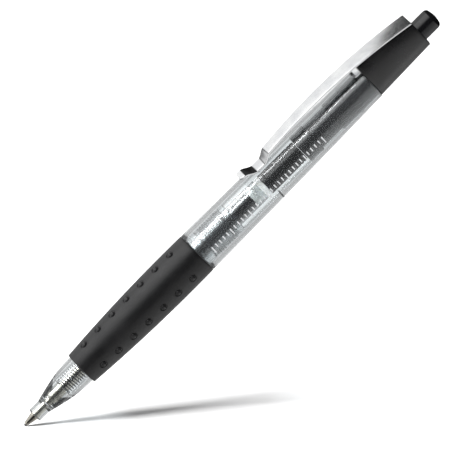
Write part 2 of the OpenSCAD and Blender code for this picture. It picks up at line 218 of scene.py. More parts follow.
def mesh_from(name: str, work: bmesh.types.BMesh, sharp_deg: float = 38.0) -> Item:
    """Clean a working mesh, shade it and make its object.

    Args:
        name: Name of the object and its mesh.
        work: The working mesh, in metres. It is freed.
        sharp_deg: Edges that turn more than this stay sharp.

    Returns:
        The new object.
    """
    bmesh.ops.remove_doubles(work, verts=work.verts, dist=1e-7)
    bmesh.ops.dissolve_degenerate(work, edges=work.edges, dist=1e-8)
    bmesh.ops.recalc_face_normals(work, faces=work.faces)
    for face in work.faces:
        face.smooth = True
    limit = math.radians(sharp_deg)
    for edge in work.edges:
        edge.smooth = len(edge.link_faces) == 2 and edge.calc_face_angle(0.0) < limit
    mesh = bpy.data.meshes.new(name)
    work.to_mesh(mesh)
    work.free()
    return new_object(name, mesh)


def skin(
    name: str,
    rings: Sequence[Ring],
    looped: bool,
    relief: Sequence[float] | None = None,
    sharp_deg: float = 38.0,
) -> Item:
    """Cover a row of rings, each with the same number of points, with quads.

    Args:
        name: Name of the object.
        rings: The rings, in mm.
        looped: True to join the last ring to the first.
        relief: One number per ring, kept in the mesh as the point attribute relief.
        sharp_deg: Edges that turn more than this stay sharp.

    Returns:
        The new object.
    """
    work = bmesh.new()
    layer = work.verts.layers.float.new("relief")
    rows = []
    for i, ring in enumerate(rings):
        row = [work.verts.new(Vector(p) * MM) for p in ring]
        for vert in row:
            vert[layer] = relief[i] if relief else 0.0
        rows.append(row)
    pairs = list(zip(rows, rows[1:]))
    if looped:
        pairs.append((rows[-1], rows[0]))
    for one, two in pairs:
        for j in range(len(one)):
            k = (j + 1) % len(one)
            work.faces.new((one[j], one[k], two[k], two[j]))
    return mesh_from(name, work, sharp_deg)


def revolve(
    name: str,
    outline: Outline,
    angles: Sequence[float] | None = None,
    relief: Callable[[float, float], float] | None = None,
    warp: Callable[[float, float, float], tuple[float, float]] | None = None,
) -> Item:
    """Turn an outline round the pen's axis.

    Args:
        name: Name of the object.
        outline: Radius and height of each point. An outline that starts and ends on the axis is a solid,
            and any other is a closed ring.
        angles: Angles of the mesh's columns.
        relief: Gives each point's share of a relief from its radius and height.
        warp: Gives a point's new radius and height from its radius, height and angle.

    Returns:
        The new object.
    """
    columns = list(angles or even_angles())
    rings = []
    for r, z in outline:
        if warp and r > 0:
            moved = [warp(r, z, a) for a in columns]
            rings.append([(m[0] * math.cos(a), m[0] * math.sin(a), m[1]) for m, a in zip(moved, columns)])
        else:
            rings.append(circle(r, z, columns))
    on_axis = outline[0][0] == 0 and outline[-1][0] == 0
    shares = [relief(r, z) for r, z in outline] if relief else None
    return skin(name, rings, not on_axis, shares)


# ---------------------------------------------------------------------------
# Geometry Nodes
# ---------------------------------------------------------------------------

# A step of a formula: its result's name, its operation, then up to three inputs by name or number.
Step = tuple[str | float, ...]


def formula(tree: Tree, known: dict[str, Socket], steps: Sequence[Step]) -> None:
    """Write a formula as a chain of Math nodes.

    Args:
        tree: The node tree.
        known: Sockets by name. Each step adds its result.
        steps: Each step's name, operation and inputs.
    """
    for name, operation, *values in steps:
        feeds = {i: known[v] if isinstance(v, str) else v for i, v in enumerate(values)}
        known[name] = add(tree, "ShaderNodeMath", feeds, operation=operation, label=name).outputs[0]


def new_tree(name: str, numbers: Sequence[str]) -> tuple[Tree, dict[str, Socket]]:
    """Start a Geometry Nodes tree with a geometry, a material and named number inputs.

    Args:
        name: Name of the tree.
        numbers: Names of its number inputs.

    Returns:
        The tree, and its inputs' sockets by name.
    """
    tree = bpy.data.node_groups.new(name, "GeometryNodeTree")
    tree.interface.new_socket("Geometry", in_out="OUTPUT", socket_type="NodeSocketGeometry")
    tree.interface.new_socket("Geometry", in_out="INPUT", socket_type="NodeSocketGeometry")
    tree.interface.new_socket("Material", in_out="INPUT", socket_type="NodeSocketMaterial")
    for number in numbers:
        tree.interface.new_socket(number, in_out="INPUT", socket_type="NodeSocketFloat")
    outputs = tree.nodes.new("NodeGroupInput").outputs
    return tree, {socket.name: socket for socket in outputs if socket.name}


def end_tree(tree: Tree, geometry: Socket, material: Socket) -> None:
    """Close a tree with Realize Instances and Set Material.

    Args:
        tree: The node tree.
        geometry: The finished shape.
        material: The shape's material.
    """
    real = add(tree, "GeometryNodeRealizeInstances", {"Geometry": geometry})
    dressed = add(tree, "GeometryNodeSetMaterial", {"Geometry": real.outputs[0], "Material": material})
    add(tree, "NodeGroupOutput", {"Geometry": dressed.outputs[0]})


RADIAL_STEPS: list[Step] = [
    ("turn", "ARCTAN2", "y", "x"),
    ("xx", "MULTIPLY", "x", "x"),
    ("rr", "MULTIPLY_ADD", "y", "y", "xx"),
    ("radius", "SQRT", "rr"),
]


def relief_tree(name: str, numbers: Sequence[str], steps: Sequence[Step]) -> Tree:
    """Make a tree that lifts a turned surface outwards by the formula's result lift.

    Args:
        name: Name of the tree.
        numbers: Names of its number inputs.
        steps: The formula. It may read x, y, z, turn and radius.

    Returns:
        The tree.
    """
    tree, known = new_tree(name, numbers)
    place = add(tree, "ShaderNodeSeparateXYZ", {0: add(tree, "GeometryNodeInputPosition").outputs[0]})
    known |= {"x": place.outputs[0], "y": place.outputs[1], "z": place.outputs[2]}
    known["share"] = add(
        tree, "GeometryNodeInputNamedAttribute", {"Name": "relief"}, data_type="FLOAT"
    ).outputs[0]
    formula(tree, known, [*RADIAL_STEPS, *steps])
    formula(
        tree,
        known,
        [
            ("shared", "MULTIPLY", "lift", "share"),
            ("scale", "DIVIDE", "shared", "radius"),
            ("out_x", "MULTIPLY", "x", "scale"),
            ("out_y", "MULTIPLY", "y", "scale"),
        ],
    )
    offset = add(tree, "ShaderNodeCombineXYZ", {0: known["out_x"], 1: known["out_y"]})
    moved = add(
        tree, "GeometryNodeSetPosition", {"Geometry": known["Geometry"], "Offset": offset.outputs[0]}
    )
    end_tree(tree, moved.outputs[0], known["Material"])
    return tree


def nub_tree() -> Tree:
    """Make the tree that raises domed nubs, each in a shallow ring, in rows and files.

    Returns:
        The tree.
    """
    numbers = ["First Row", "Row Pitch", "Last Row", "Files", "Nub Radius", "Nub Height", "Ring Width"]
    steps: list[Step] = [
        ("file_turn", "DIVIDE", TURN, "Files"),
        ("half_file", "MULTIPLY", "file_turn", 0.5),
        ("other_half", "MULTIPLY", "half_file", -1.0),
        ("off_turn", "WRAP", "turn", "half_file", "other_half"),
        ("across", "MULTIPLY", "off_turn", "radius"),
        ("rise", "SUBTRACT", "z", "First Row"),
        ("row", "DIVIDE", "rise", "Row Pitch"),
        ("near_row", "ROUND", "row"),
        ("low_row", "MINIMUM", "near_row", "Last Row"),
        ("this_row", "MAXIMUM", "low_row", 0.0),
        ("row_z", "MULTIPLY", "this_row", "Row Pitch"),
        ("along", "SUBTRACT", "rise", "row_z"),
        ("along2", "MULTIPLY", "along", "along"),
        ("off2", "MULTIPLY_ADD", "across", "across", "along2"),
        ("off", "SQRT", "off2"),
        ("dome_at", "DIVIDE", "off", "Nub Radius"),
        ("dome_at2", "MULTIPLY", "dome_at", "dome_at"),
        ("dome_left", "SUBTRACT", 1.0, "dome_at2"),
        ("dome_in", "MAXIMUM", "dome_left", 0.0),
        ("dome", "POWER", "dome_in", 0.6),
        ("dome_h", "MULTIPLY", "dome", "Nub Height"),
        ("half_ring", "MULTIPLY", "Ring Width", 0.5),
        ("ring_mid", "ADD", "Nub Radius", "half_ring"),
        ("ring_off", "SUBTRACT", "off", "ring_mid"),
        ("ring_at", "DIVIDE", "ring_off", "half_ring"),
        ("ring_at2", "MULTIPLY", "ring_at", "ring_at"),
        ("ring_left", "SUBTRACT", 1.0, "ring_at2"),
        ("ring_in", "MAXIMUM", "ring_left", 0.0),
        ("ring_h", "MULTIPLY", "ring_in", "half_ring"),
        ("ring_d", "MULTIPLY", "ring_h", 1.2),
        ("lift", "SUBTRACT", "dome_h", "ring_d"),
    ]
    return relief_tree("raised_nubs", numbers, steps)


def thread_tree() -> Tree:
    """Make the tree that raises a right-hand screw thread.

    Returns:
        The tree.
    """
    steps: list[Step] = [
        ("lead", "DIVIDE", "turn", TURN),
        ("climb", "DIVIDE", "z", "Pitch"),
        ("phase", "SUBTRACT", "climb", "lead"),
        ("flank", "PINGPONG", "phase", 0.5),
        ("flank2", "MULTIPLY_ADD", "flank", 3.4, -0.35),
        ("flank3", "MAXIMUM", "flank2", 0.0),
        ("crest", "MINIMUM", "flank3", 1.0),
        ("lift", "MULTIPLY", "crest", "Depth"),
    ]
    return relief_tree("screw_thread", ["Pitch", "Depth"], steps)


def coil_tree() -> Tree:
    """Make the tree that winds a round wire into a spring with one closed turn at each end.

    Returns:
        The tree.
    """
    numbers = ["Turns", "Steps", "Mean Radius", "Wire Radius", "Foot", "Closed Pitch", "Open Pitch"]
    tree, known = new_tree("wound_spring", numbers)
    known["index"] = add(tree, "GeometryNodeInputIndex").outputs[0]
    formula(
        tree,
        known,
        [
            ("t", "DIVIDE", "index", "Steps"),
            ("before_end", "SUBTRACT", "Turns", 1.0),
            ("first", "MINIMUM", "t", 1.0),
            ("past_end", "SUBTRACT", "t", "before_end"),
            ("last", "MAXIMUM", "past_end", 0.0),
            ("closed", "ADD", "first", "last"),
            ("open", "SUBTRACT", "t", "closed"),
            ("closed_z", "MULTIPLY_ADD", "closed", "Closed Pitch", "Foot"),
            ("z", "MULTIPLY_ADD", "open", "Open Pitch", "closed_z"),
            ("angle", "MULTIPLY", "t", TURN),
            ("cos", "COSINE", "angle"),
            ("sin", "SINE", "angle"),
            ("x", "MULTIPLY", "cos", "Mean Radius"),
            ("y", "MULTIPLY", "sin", "Mean Radius"),
            ("all_steps", "MULTIPLY", "Turns", "Steps"),
            ("count", "ADD", "all_steps", 1.0),
        ],
    )
    line = add(tree, "GeometryNodeMeshLine", {"Count": known["count"]})
    place = add(tree, "ShaderNodeCombineXYZ", {0: known["x"], 1: known["y"], 2: known["z"]})
    wound = add(
        tree, "GeometryNodeSetPosition", {"Geometry": line.outputs[0], "Position": place.outputs[0]}
    )
    curve = add(tree, "GeometryNodeMeshToCurve", {"Mesh": wound.outputs[0]})
    section = add(
        tree, "GeometryNodeCurvePrimitiveCircle", {"Resolution": 10, "Radius": known["Wire Radius"]}
    )
    wire = add(
        tree,
        "GeometryNodeCurveToMesh",
        {"Curve": curve.outputs[0], "Profile Curve": section.outputs[0], "Fill Caps": True},
    )
    smooth = add(tree, "GeometryNodeSetShadeSmooth", {"Geometry": wire.outputs[0], "Shade Smooth": True})
    end_tree(tree, smooth.outputs[0], known["Material"])
    return tree


def run_nodes(item: Item, tree: Tree, values: dict[str, object]) -> None:
    """Run a tree on an object once and keep the result as its plain mesh.

    Args:
        item: The object.
        tree: The Geometry Nodes tree.
        values: The tree's inputs by name, with lengths in metres.
    """
    modifier = item.modifiers.new(tree.name, "NODES")
    modifier.node_group = tree
    for socket in tree.interface.items_tree:
        if socket.item_type == "SOCKET" and socket.in_out == "INPUT" and socket.name in values:
            modifier[socket.identifier] = values[socket.name]
    depsgraph = bpy.context.evaluated_depsgraph_get()
    mesh = bpy.data.meshes.new_from_object(item.evaluated_get(depsgraph), depsgraph=depsgraph)
    item.modifiers.remove(modifier)
    mesh.name = item.name
    item.data = mesh


# ---------------------------------------------------------------------------
# Finishes
# ---------------------------------------------------------------------------


@dataclass(frozen=True)
class Finish:
    """A material and how its surface was made.

    Attributes:
        name: The material's name.
        colour: Its sRGB colour in hex.
        roughness: Its mean roughness.
    """

    name: str
    colour: str
    roughness: float

    def build(self) -> bpy.types.Material:
        """Make the Blender material, once.

        Returns:
            The material.
        """
        if self.name in bpy.data.materials:
            return bpy.data.materials[self.name]
        material = bpy.data.materials.new(self.name)
        material.use_nodes = True
        tree = material.node_tree
        tree.nodes.clear()
        place = add(tree, "ShaderNodeTexCoord").outputs["Object"]
        shader = add(
            tree,
            "ShaderNodeBsdfPrincipled",
            {"Base Color": linear(self.colour), "Roughness": self.roughness},
        )
        surface = self.dress(tree, shader, place)
        add(tree, "ShaderNodeOutputMaterial", {"Surface": surface})
        return material

    def dress(self, tree: Tree, shader: Node, place: Socket) -> Socket:
        """Give the shader its pattern.

        Args:
            tree: The material's tree.
            shader: Its Principled shader.
            place: Object coordinates, in metres.

        Returns:
            The socket that goes to the material's surface.
        """
        return shader.outputs[0]

    def spread(
        self,
        tree: Tree,
        source: Socket,
        low: float,
        high: float,
        start: float = 0.35,
        end: float = 0.65,
    ) -> Socket:
        """Spread a pattern's middle over a range of values."""
        feeds = {"Value": source, "From Min": start, "From Max": end, "To Min": low, "To Max": high}
        return add(tree, "ShaderNodeMapRange", feeds).outputs[0]

    def bump(self, tree: Tree, shader: Node, height: Socket, depth: float) -> None:
        """Raise the surface by a pattern, depth mm from its lowest to its highest."""
        feeds = {"Height": height, "Distance": depth * MM, "Strength": 1.0}
        tree.links.new(add(tree, "ShaderNodeBump", feeds).outputs[0], shader.inputs["Normal"])

    def tint(self, tree: Tree, shader: Node, source: Socket, other: str) -> None:
        """Mix the base colour with another by a pattern from 0 to 1.

        Args:
            tree: The material's tree.
            shader: Its Principled shader.
            source: The pattern.
            other: The second colour, in sRGB hex.
        """
        mix = add(tree, "ShaderNodeMix", {0: source}, data_type="RGBA")
        mix.inputs[6].default_value = linear(self.colour)
        mix.inputs[7].default_value = linear(other)
        tree.links.new(mix.outputs[2], shader.inputs["Base Color"])


@dataclass(frozen=True)
class ClearMoulding(Finish):
    """Transparent plastic, moulded against polished steel.

    It gives the eye crisp edges and highlights with a faint waviness, and lets lamps through to what it
    holds.

    Attributes:
        ior: Index of refraction.
        wave_mm: Size of the surface's slow waves.
        wave_depth: Depth of those waves in mm.
        passed: Colour of the lamplight that it lets through.
        clarity: Share of light that passes. The rest scatters as a faint haze.
    """

    ior: float = 1.57
    wave_mm: float = 5.0
    wave_depth: float = 0.006
    passed: str = "f4f6f7"
    clarity: float = 1.0

    def dress(self, tree: Tree, shader: Node, place: Socket) -> Socket:
        """Give the shader its slow waves, and let lamplight through.

        Args:
            tree: The material's tree.
            shader: Its Principled shader.
            place: Object coordinates, in metres.

        Returns:
            The socket that goes to the material's surface.
        """
        shader.inputs["Transmission Weight"].default_value = self.clarity
        shader.inputs["IOR"].default_value = self.ior
        slow = {"Vector": place, "Scale": 1 / (self.wave_mm * MM), "Detail": 3.0}
        wave = add(tree, "ShaderNodeTexNoise", slow)
        tree.links.new(
            self.spread(tree, wave.outputs[0], self.roughness * 0.6, self.roughness * 1.6),
            shader.inputs["Roughness"],
        )
        self.bump(tree, shader, wave.outputs[0], self.wave_depth)
        path = add(tree, "ShaderNodeLightPath")
        lamp = add(
            tree,
            "ShaderNodeMath",
            {0: path.outputs["Is Shadow Ray"], 1: path.outputs["Is Diffuse Ray"]},
            operation="MAXIMUM",
        )
        through = add(tree, "ShaderNodeBsdfTransparent", {"Color": linear(self.passed)})
        mix = add(
            tree, "ShaderNodeMixShader", {0: lamp.outputs[0], 1: shader.outputs[0], 2: through.outputs[0]}
        )
        return mix.outputs[0]


@dataclass(frozen=True)
class RubberMoulding(Finish):
    """Soft thermoplastic rubber, moulded in an etched tool.

    It gives the eye a broad dull sheen, a fine grain and faint handling marks.

    Attributes:
        grain_mm: Size of the etched grain, drawn coarse enough to show.
        grain_depth: Depth of the grain in mm.
        mark_mm: Size of the handling marks.
        mark_gloss: How far the marks raise or lower the roughness.
        other: Colour of the marks.
        sheen: Weight of the dull sheen.
    """

    grain_mm: float = 0.16
    grain_depth: float = 0.02
    mark_mm: float = 6.0
    mark_gloss: float = 0.07
    other: str = "121213"
    sheen: float = 0.08

    def dress(self, tree: Tree, shader: Node, place: Socket) -> Socket:
        """Give the shader its grain, its handling marks and its sheen.

        Args:
            tree: The material's tree.
            shader: Its Principled shader.
            place: Object coordinates, in metres.

        Returns:
            The socket that goes to the material's surface.
        """
        grain = add(
            tree,
            "ShaderNodeTexNoise",
            {"Vector": place, "Scale": 1 / (self.grain_mm * MM), "Detail": 4.0, "Roughness": 0.6},
        )
        patches = {"Vector": place, "Scale": 1 / (self.mark_mm * MM), "Detail": 5.0}
        marks = add(tree, "ShaderNodeTexNoise", patches)
        tree.links.new(
            self.spread(
                tree, marks.outputs[0], self.roughness - self.mark_gloss, self.roughness + self.mark_gloss
            ),
            shader.inputs["Roughness"],
        )
        self.tint(tree, shader, self.spread(tree, marks.outputs[0], 0.0, 1.0), self.other)
        self.bump(tree, shader, grain.outputs[0], self.grain_depth)
        shader.inputs["Sheen Weight"].default_value = self.sheen
        shader.inputs["Sheen Roughness"].default_value = 0.5
        return shader.outputs[0]


@dataclass(frozen=True)
class OpaqueMoulding(Finish):
    """Opaque plastic, moulded in a polished or lightly blasted tool.

    It gives the eye an even body with a soft orange peel and slightly uneven gloss.

    Attributes:
        texture_mm: Size of the surface's texture.
        texture_depth: Depth of that texture in mm.
        coat: Weight of a glassier skin over it.
        shine: Strength of its reflections, 0.5 for plain plastic.
        other: Second colour of the slow mottling.
        glow: Share of light that scatters under the surface.
        mottle_mm: Size of the slow mottling.
    """

    texture_mm: float = 0.4
    texture_depth: float = 0.004
    coat: float = 0.0
    shine: float = 0.5
    other: str = "242426"
    glow: float = 0.0
    mottle_mm: float = 7.0

    def dress(self, tree: Tree, shader: Node, place: Socket) -> Socket:
        """Give the shader its orange peel and its uneven gloss.

        Args:
            tree: The material's tree.
            shader: Its Principled shader.
            place: Object coordinates, in metres.

        Returns:
            The socket that goes to the material's surface.
        """
        fine = add(
            tree, "ShaderNodeTexNoise", {"Vector": place, "Scale": 1 / (self.texture_mm * MM), "Detail": 3.0}
        )
        patches = {"Vector": place, "Scale": 1 / (self.mottle_mm * MM), "Detail": 4.0}
        slow = add(tree, "ShaderNodeTexNoise", patches)
        tree.links.new(
            self.spread(tree, slow.outputs[0], self.roughness * 0.8, self.roughness * 1.25),
            shader.inputs["Roughness"],
        )
        self.tint(tree, shader, self.spread(tree, slow.outputs[0], 0.0, 1.0), self.other)
        self.bump(tree, shader, fine.outputs[0], self.texture_depth)
        shader.inputs["Specular IOR Level"].default_value = self.shine
        shader.inputs["Coat Weight"].default_value = self.coat
        shader.inputs["Coat Roughness"].default_value = self.roughness * 0.5
        if self.glow:
            shader.inputs["Subsurface Weight"].default_value = self.glow
            shader.inputs["Subsurface Radius"].default_value = (1.0, 1.0, 0.9)
            shader.inputs["Subsurface Scale"].default_value = 0.6 * MM
        return shader.outputs[0]


LINE_STRETCH = 40.0  # how many times longer a tool line is than it is wide


class Lay(Enum):
    """Which way a worked metal's fine lines run, as the pattern's scale along each axis."""

    ROUND = (1.0, 1.0, LINE_STRETCH)
    LONG = (LINE_STRETCH, LINE_STRETCH, 1.0)


@dataclass(frozen=True)
class WorkedMetal(Finish):
    """Bare or plated metal that was turned, drawn or rolled.

    It gives the eye bright reflections drawn out across fine tool lines, with a few duller patches.

    Attributes:
        lay: Which way the lines run.
        line_mm: Spacing of the lines, drawn coarse enough to show.
        line_depth: Depth of the lines in mm.
        other: Colour of the duller patches.
        patch_mm: Size of those patches.
    """

    lay: Lay = Lay.LONG
    line_mm: float = 0.25
    line_depth: float = 0.002
    other: str = "b4b2ac"
    patch_mm: float = 4.0

    def dress(self, tree: Tree, shader: Node, place: Socket) -> Socket:
        """Give the shader its tool lines and its duller patches.

        Args:
            tree: The material's tree.
            shader: Its Principled shader.
            place: Object coordinates, in metres.

        Returns:
            The socket that goes to the material's surface.
        """
        shader.inputs["Metallic"].default_value = 1.0
        stretch = [v / (LINE_STRETCH * self.line_mm * MM) for v in self.lay.value]
        along = add(tree, "ShaderNodeMapping", {"Vector": place, "Scale": stretch})
        lines = add(tree, "ShaderNodeTexNoise", {"Vector": along.outputs[0], "Scale": 1.0, "Detail": 3.0})
        patches = {"Vector": place, "Scale": 1 / (self.patch_mm * MM), "Detail": 4.0}
        dull = add(tree, "ShaderNodeTexNoise", patches)
        tree.links.new(
            self.spread(tree, lines.outputs[0], self.roughness * 0.75, self.roughness * 1.3),
            shader.inputs["Roughness"],
        )
        self.tint(tree, shader, self.spread(tree, dull.outputs[0], 0.0, 1.0), self.other)
        self.bump(tree, shader, lines.outputs[0], self.line_depth)
        return shader.outputs[0]


@dataclass(frozen=True)
class Gel(Finish):
    """A wet gel seen through its tube.

    It gives the eye a deep, glossy column with slow streaks and a few trapped bubbles.

    Attributes:
        other: Colour of the streaks.
        bubble_mm: Spacing of the bubbles.
        bubble_depth: Depth of the bubbles in mm.
        streak_mm: Length of the streaks along the tube.
        clarity: Share of light that passes.
    """

    other: str = "141418"
    bubble_mm: float = 1.4
    bubble_depth: float = 0.02
    streak_mm: float = 9.0
    clarity: float = 0.0

    def dress(self, tree: Tree, shader: Node, place: Socket) -> Socket:
        """Give the shader its streaks and its bubbles.

        Args:
            tree: The material's tree.
            shader: Its Principled shader.
            place: Object coordinates, in metres.

        Returns:
            The socket that goes to the material's surface.
        """
        scale = [1 / MM, 1 / MM, 1 / (self.streak_mm * MM)]
        long = add(tree, "ShaderNodeMapping", {"Vector": place, "Scale": scale})
        streaks = add(tree, "ShaderNodeTexNoise", {"Vector": long.outputs[0], "Scale": 0.7, "Detail": 4.0})
        bubbles = add(tree, "ShaderNodeTexVoronoi", {"Vector": place, "Scale": 1 / (self.bubble_mm * MM)})
        self.tint(tree, shader, self.spread(tree, streaks.outputs[0], 0.0, 1.0), self.other)
        tree.links.new(
            self.spread(tree, streaks.outputs[0], self.roughness * 0.7, self.roughness * 1.4),
            shader.inputs["Roughness"],
        )
        dots = self.spread(tree, bubbles.outputs["Distance"], 1.0, 0.0, 0.05, 0.16)
        self.bump(tree, shader, dots, self.bubble_depth)
        shader.inputs["Transmission Weight"].default_value = self.clarity
        return shader.outputs[0]


# Crisp glassy edges and highlights with almost no colour of its own.
CLEAR_BODY = ClearMoulding("moulded_clear_polycarbonate", "f0f3f4", 0.02, clarity=0.99)
# The softer, slightly milky highlights of a thin extruded tube.
CLEAR_TUBE = ClearMoulding("extruded_clear_polypropylene", "eff1f1", 0.05, ior=1.49, wave_mm=2.5)
# A deep black with a broad dull sheen that brings out the nubs.
GRIP_RUBBER = RubberMoulding("moulded_black_rubber", "0b0b0c", 0.35)
# Near-black with wide soft reflections across the cap.
SATIN_BLACK = OpaqueMoulding(
    "satin_moulded_black_abs",
    "0e0e0f",
    0.29,
    texture_mm=0.25,
    texture_depth=0.006,
    shine=0.95,
    other="131314",
)
# A slightly greyer black with tight, oily highlights.
SLICK_BLACK = OpaqueMoulding(
    "moulded_black_acetal", "1a1a1b", 0.18, texture_mm=0.8, texture_depth=0.003, coat=1.0, other="202022"
)
# The darkest black, with sharp reflections.
GLOSS_BLACK = OpaqueMoulding(
    "polished_moulded_black_abs", "080809", 0.07, texture_mm=1.5, texture_depth=0.002, other="0c0c0e"
)
# A soft white with a little light in its edges.
WHITE_PLASTIC = OpaqueMoulding("moulded_white_polyethylene", "f0f0ee", 0.32, other="e4e4e0", glow=0.35)
# Mirror-bright bands, drawn out along the strip.
CLIP_PLATE = WorkedMetal(
    "bright_plated_spring_steel", "eceded", 0.16, line_mm=0.18, line_depth=0.0015, other="dcdddf"
)
# A warmer silver with fine rings round it from the lathe.
TIP_METAL = WorkedMetal(
    "turned_nickel_silver", "d6d2c8", 0.2, lay=Lay.ROUND, line_mm=0.14, line_depth=0.004, other="bdb8ac"
)
# A darker steel, so that the coils show as thin lines.
SPRING_WIRE = WorkedMetal("drawn_stainless_wire", "74767a", 0.28, line_mm=0.1, other="5e6064")
# A hard grey glint at the point.
CARBIDE = WorkedMetal("polished_tungsten_carbide", "8f9094", 0.12, line_mm=0.05, other="77787c")
# A pale matt film that lies flat on the clear wall.
PRINT_GREY = OpaqueMoulding(
    "pad_printed_grey_ink", "c4c6c8", 0.45, texture_mm=0.1, texture_depth=0.002, other="b4b6b8"
)
# A dense black column with faint streaks.
BLACK_INK = Gel("black_gel_ink", "050506", 0.12)
# A pale, hazy column behind the ink.
GREASE = Gel("clear_follower_grease", "f8f8f5", 0.25, other="efeee8", clarity=0.5)


# ---------------------------------------------------------------------------
# The pen
# ---------------------------------------------------------------------------


def fit(item: Item, finish: Finish, body: str, nodes: Sequence[str] = ()) -> Item:
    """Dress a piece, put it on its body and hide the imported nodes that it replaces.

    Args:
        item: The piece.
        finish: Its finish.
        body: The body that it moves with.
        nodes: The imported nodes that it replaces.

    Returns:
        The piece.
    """
    if not item.data.materials:
        item.data.materials.append(finish.build())
    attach(item, body)
    if nodes:
        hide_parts(*nodes)
    LOG.info("%s: %d faces on %s", item.name, len(item.data.polygons), body)
    return item


@dataclass
class Refill:
    """The refill: ball, metal tip, holder, tube, ink, grease, plug and end piece."""

    tip: Span = field(default_factory=lambda: Span.of("tip_cone"))
    holder: Span = field(default_factory=lambda: Span.of("tip_holder"))
    tube: Span = field(default_factory=lambda: Span.of("refill_tube"))
    ink: Span = field(default_factory=lambda: Span.of("ink"))
    grease: Span = field(default_factory=lambda: Span.of("ink_follower"))
    plug: Span = field(default_factory=lambda: Span.of("refill_plug"))
    end: Span = field(default_factory=lambda: Span.of("refill_end"))
    ball: Span = field(default_factory=lambda: Span.of("ball"))
    cone_len: float = 3.6
    tail_z: float = 9.5
    tail_r: float = 1.0
    holder_r: float = 1.65
    wall: float = 0.5
    shoulder_len: float = 1.0
    lip: tuple[Point, ...] = ((0.37, 0.0, 0.01), (0.44, 0.0, 0.03), (0.52, 0.28, 0.05), (0.66, 0.55, 0.05))
    ink_hole_r: float = 0.3
    holder_hole_r: float = 0.6
    plug_hole_r: float = 0.5
    end_hole_r: float = 1.5
    ink_gap: float = 0.03
    ink_dome: float = 0.35
    groove: float = 0.15
    body: str = "refill"

    def build(self) -> None:
        """Make every piece of the refill."""
        self.build_ball()
        self.build_tip()
        self.build_holder()
        self.build_tube()
        self.build_ink()
        self.build_plug()
        self.build_end()

    def build_ball(self) -> None:
        """Make the writing ball, fine enough that no facets show."""
        r = self.ball.radius
        turns = [math.pi * i / 24 for i in range(25)]
        outline = [(max(0.0, r * math.sin(t)), r - r * math.cos(t)) for t in turns]
        outline[0], outline[-1] = (0.0, 0.0), (0.0, 2 * r)
        fit(revolve("writing_ball", outline, even_angles(48)), CARBIDE, "ball_body", ["ball"])

    def build_tip(self) -> None:
        """Make the metal tip: crimped lip, cone, shank and tail."""
        r = self.tip.radius
        low, top = self.tip.low, self.tip.high
        corners = [
            *((lip_r, low + up, edge) for lip_r, up, edge in self.lip),
            (r, self.cone_len, 0.3),
            (r, self.tail_z, 0.05),
            (self.tail_r, self.tail_z, 0.05),
            (self.tail_r, top, 0.1),
            (self.ink_hole_r, top, 0.03),
            (self.ink_hole_r, low + 0.35, 0.02),
        ]
        fit(revolve("metal_tip", rounded(corners)), TIP_METAL, self.body, ["tip_cone"])

    def build_holder(self) -> None:
        """Make the metal holder, with its lead-in and its shoulder for the spring."""
        shoulder = self.tube.low - self.shoulder_len
        bore = self.tail_r + 0.01
        corners = [
            (bore, self.tail_z, 0.05),
            (self.holder_r - 0.35, self.tail_z, 0.1),
            (self.holder_r, self.tail_z + 0.8, 0.3),
            (self.holder_r, shoulder, 0.1),
            (self.tube.radius, shoulder, 0.15),
            (self.tube.radius, self.tube.low, 0.08),
            (self.ink.radius, self.tube.low, 0.02),
            (self.ink.radius, self.holder.high, 0.15),
            (self.holder_hole_r, self.holder.high, 0.05),
            (self.holder_hole_r, self.tip.high, 0.05),
            (bore, self.tip.high, 0.05),
        ]
        fit(revolve("tip_holder_shell", rounded(corners)), TIP_METAL, self.body, ["tip_holder"])

    def build_tube(self) -> None:
        """Make the clear tube."""
        r, bore = self.tube.radius, self.tube.radius - self.wall
        corners = [
            (bore, self.tube.low + 0.01, 0.05),
            (r, self.tube.low + 0.01, 0.08),
            (r, self.tube.high - 0.01, 0.08),
            (bore, self.tube.high - 0.01, 0.05),
        ]
        outline = rounded(corners)
        fit(revolve("ink_tube", outline), CLEAR_TUBE, self.body, ["refill_tube"])

    def build_ink(self) -> None:
        """Make the ink with its domed end, and the grease that follows it."""
        gap, dome = self.ink_gap, self.ink_dome
        r = self.ink.radius - gap
        low, top = self.ink.low + gap, self.ink.high
        ink = [(0.0, low), (r - 0.1, low), (r, low + 0.1)]
        ink += [(r, z) for z in stations(low + 4, top - 4, 8)]
        ink += [(r * math.cos(a), top - dome + dome * math.sin(a)) for a in stations(0, 1.4, 6)]
        ink += [(0.0, top)]
        fit(revolve("gel_ink", ink), BLACK_INK, self.body, ["ink"])
        foot = [(0.0, top + gap)]
        foot += [(r * math.cos(a), top + gap - dome + dome * math.sin(a)) for a in stations(1.4, 0, 6)]
        foot += [(r, self.grease.high - gap), (0.0, self.grease.high - gap)]
        fit(revolve("grease_follower", foot), GREASE, self.body, ["ink_follower"])

    def build_plug(self) -> None:
        """Make the white plug: a collar with a spigot at each end and an air hole."""
        collar_low = self.tube.high
        collar_top = self.end.low
        corners = [
            (self.plug_hole_r, self.plug.low, 0.05),
            (self.ink.radius - 0.02, self.plug.low, 0.2),
            (self.ink.radius - 0.02, collar_low, 0.02),
            (self.plug.radius, collar_low + 0.02, 0.12),
            (self.plug.radius, collar_top - 0.02, 0.12),
            (self.ink.radius - 0.02, collar_top, 0.02),
            (self.ink.radius - 0.02, self.plug.high, 0.2),
            (self.plug_hole_r, self.plug.high, 0.05),
        ]
        plug = revolve("tube_plug", rounded(corners))
        fit(plug, WHITE_PLASTIC, self.body, ["refill_plug"])

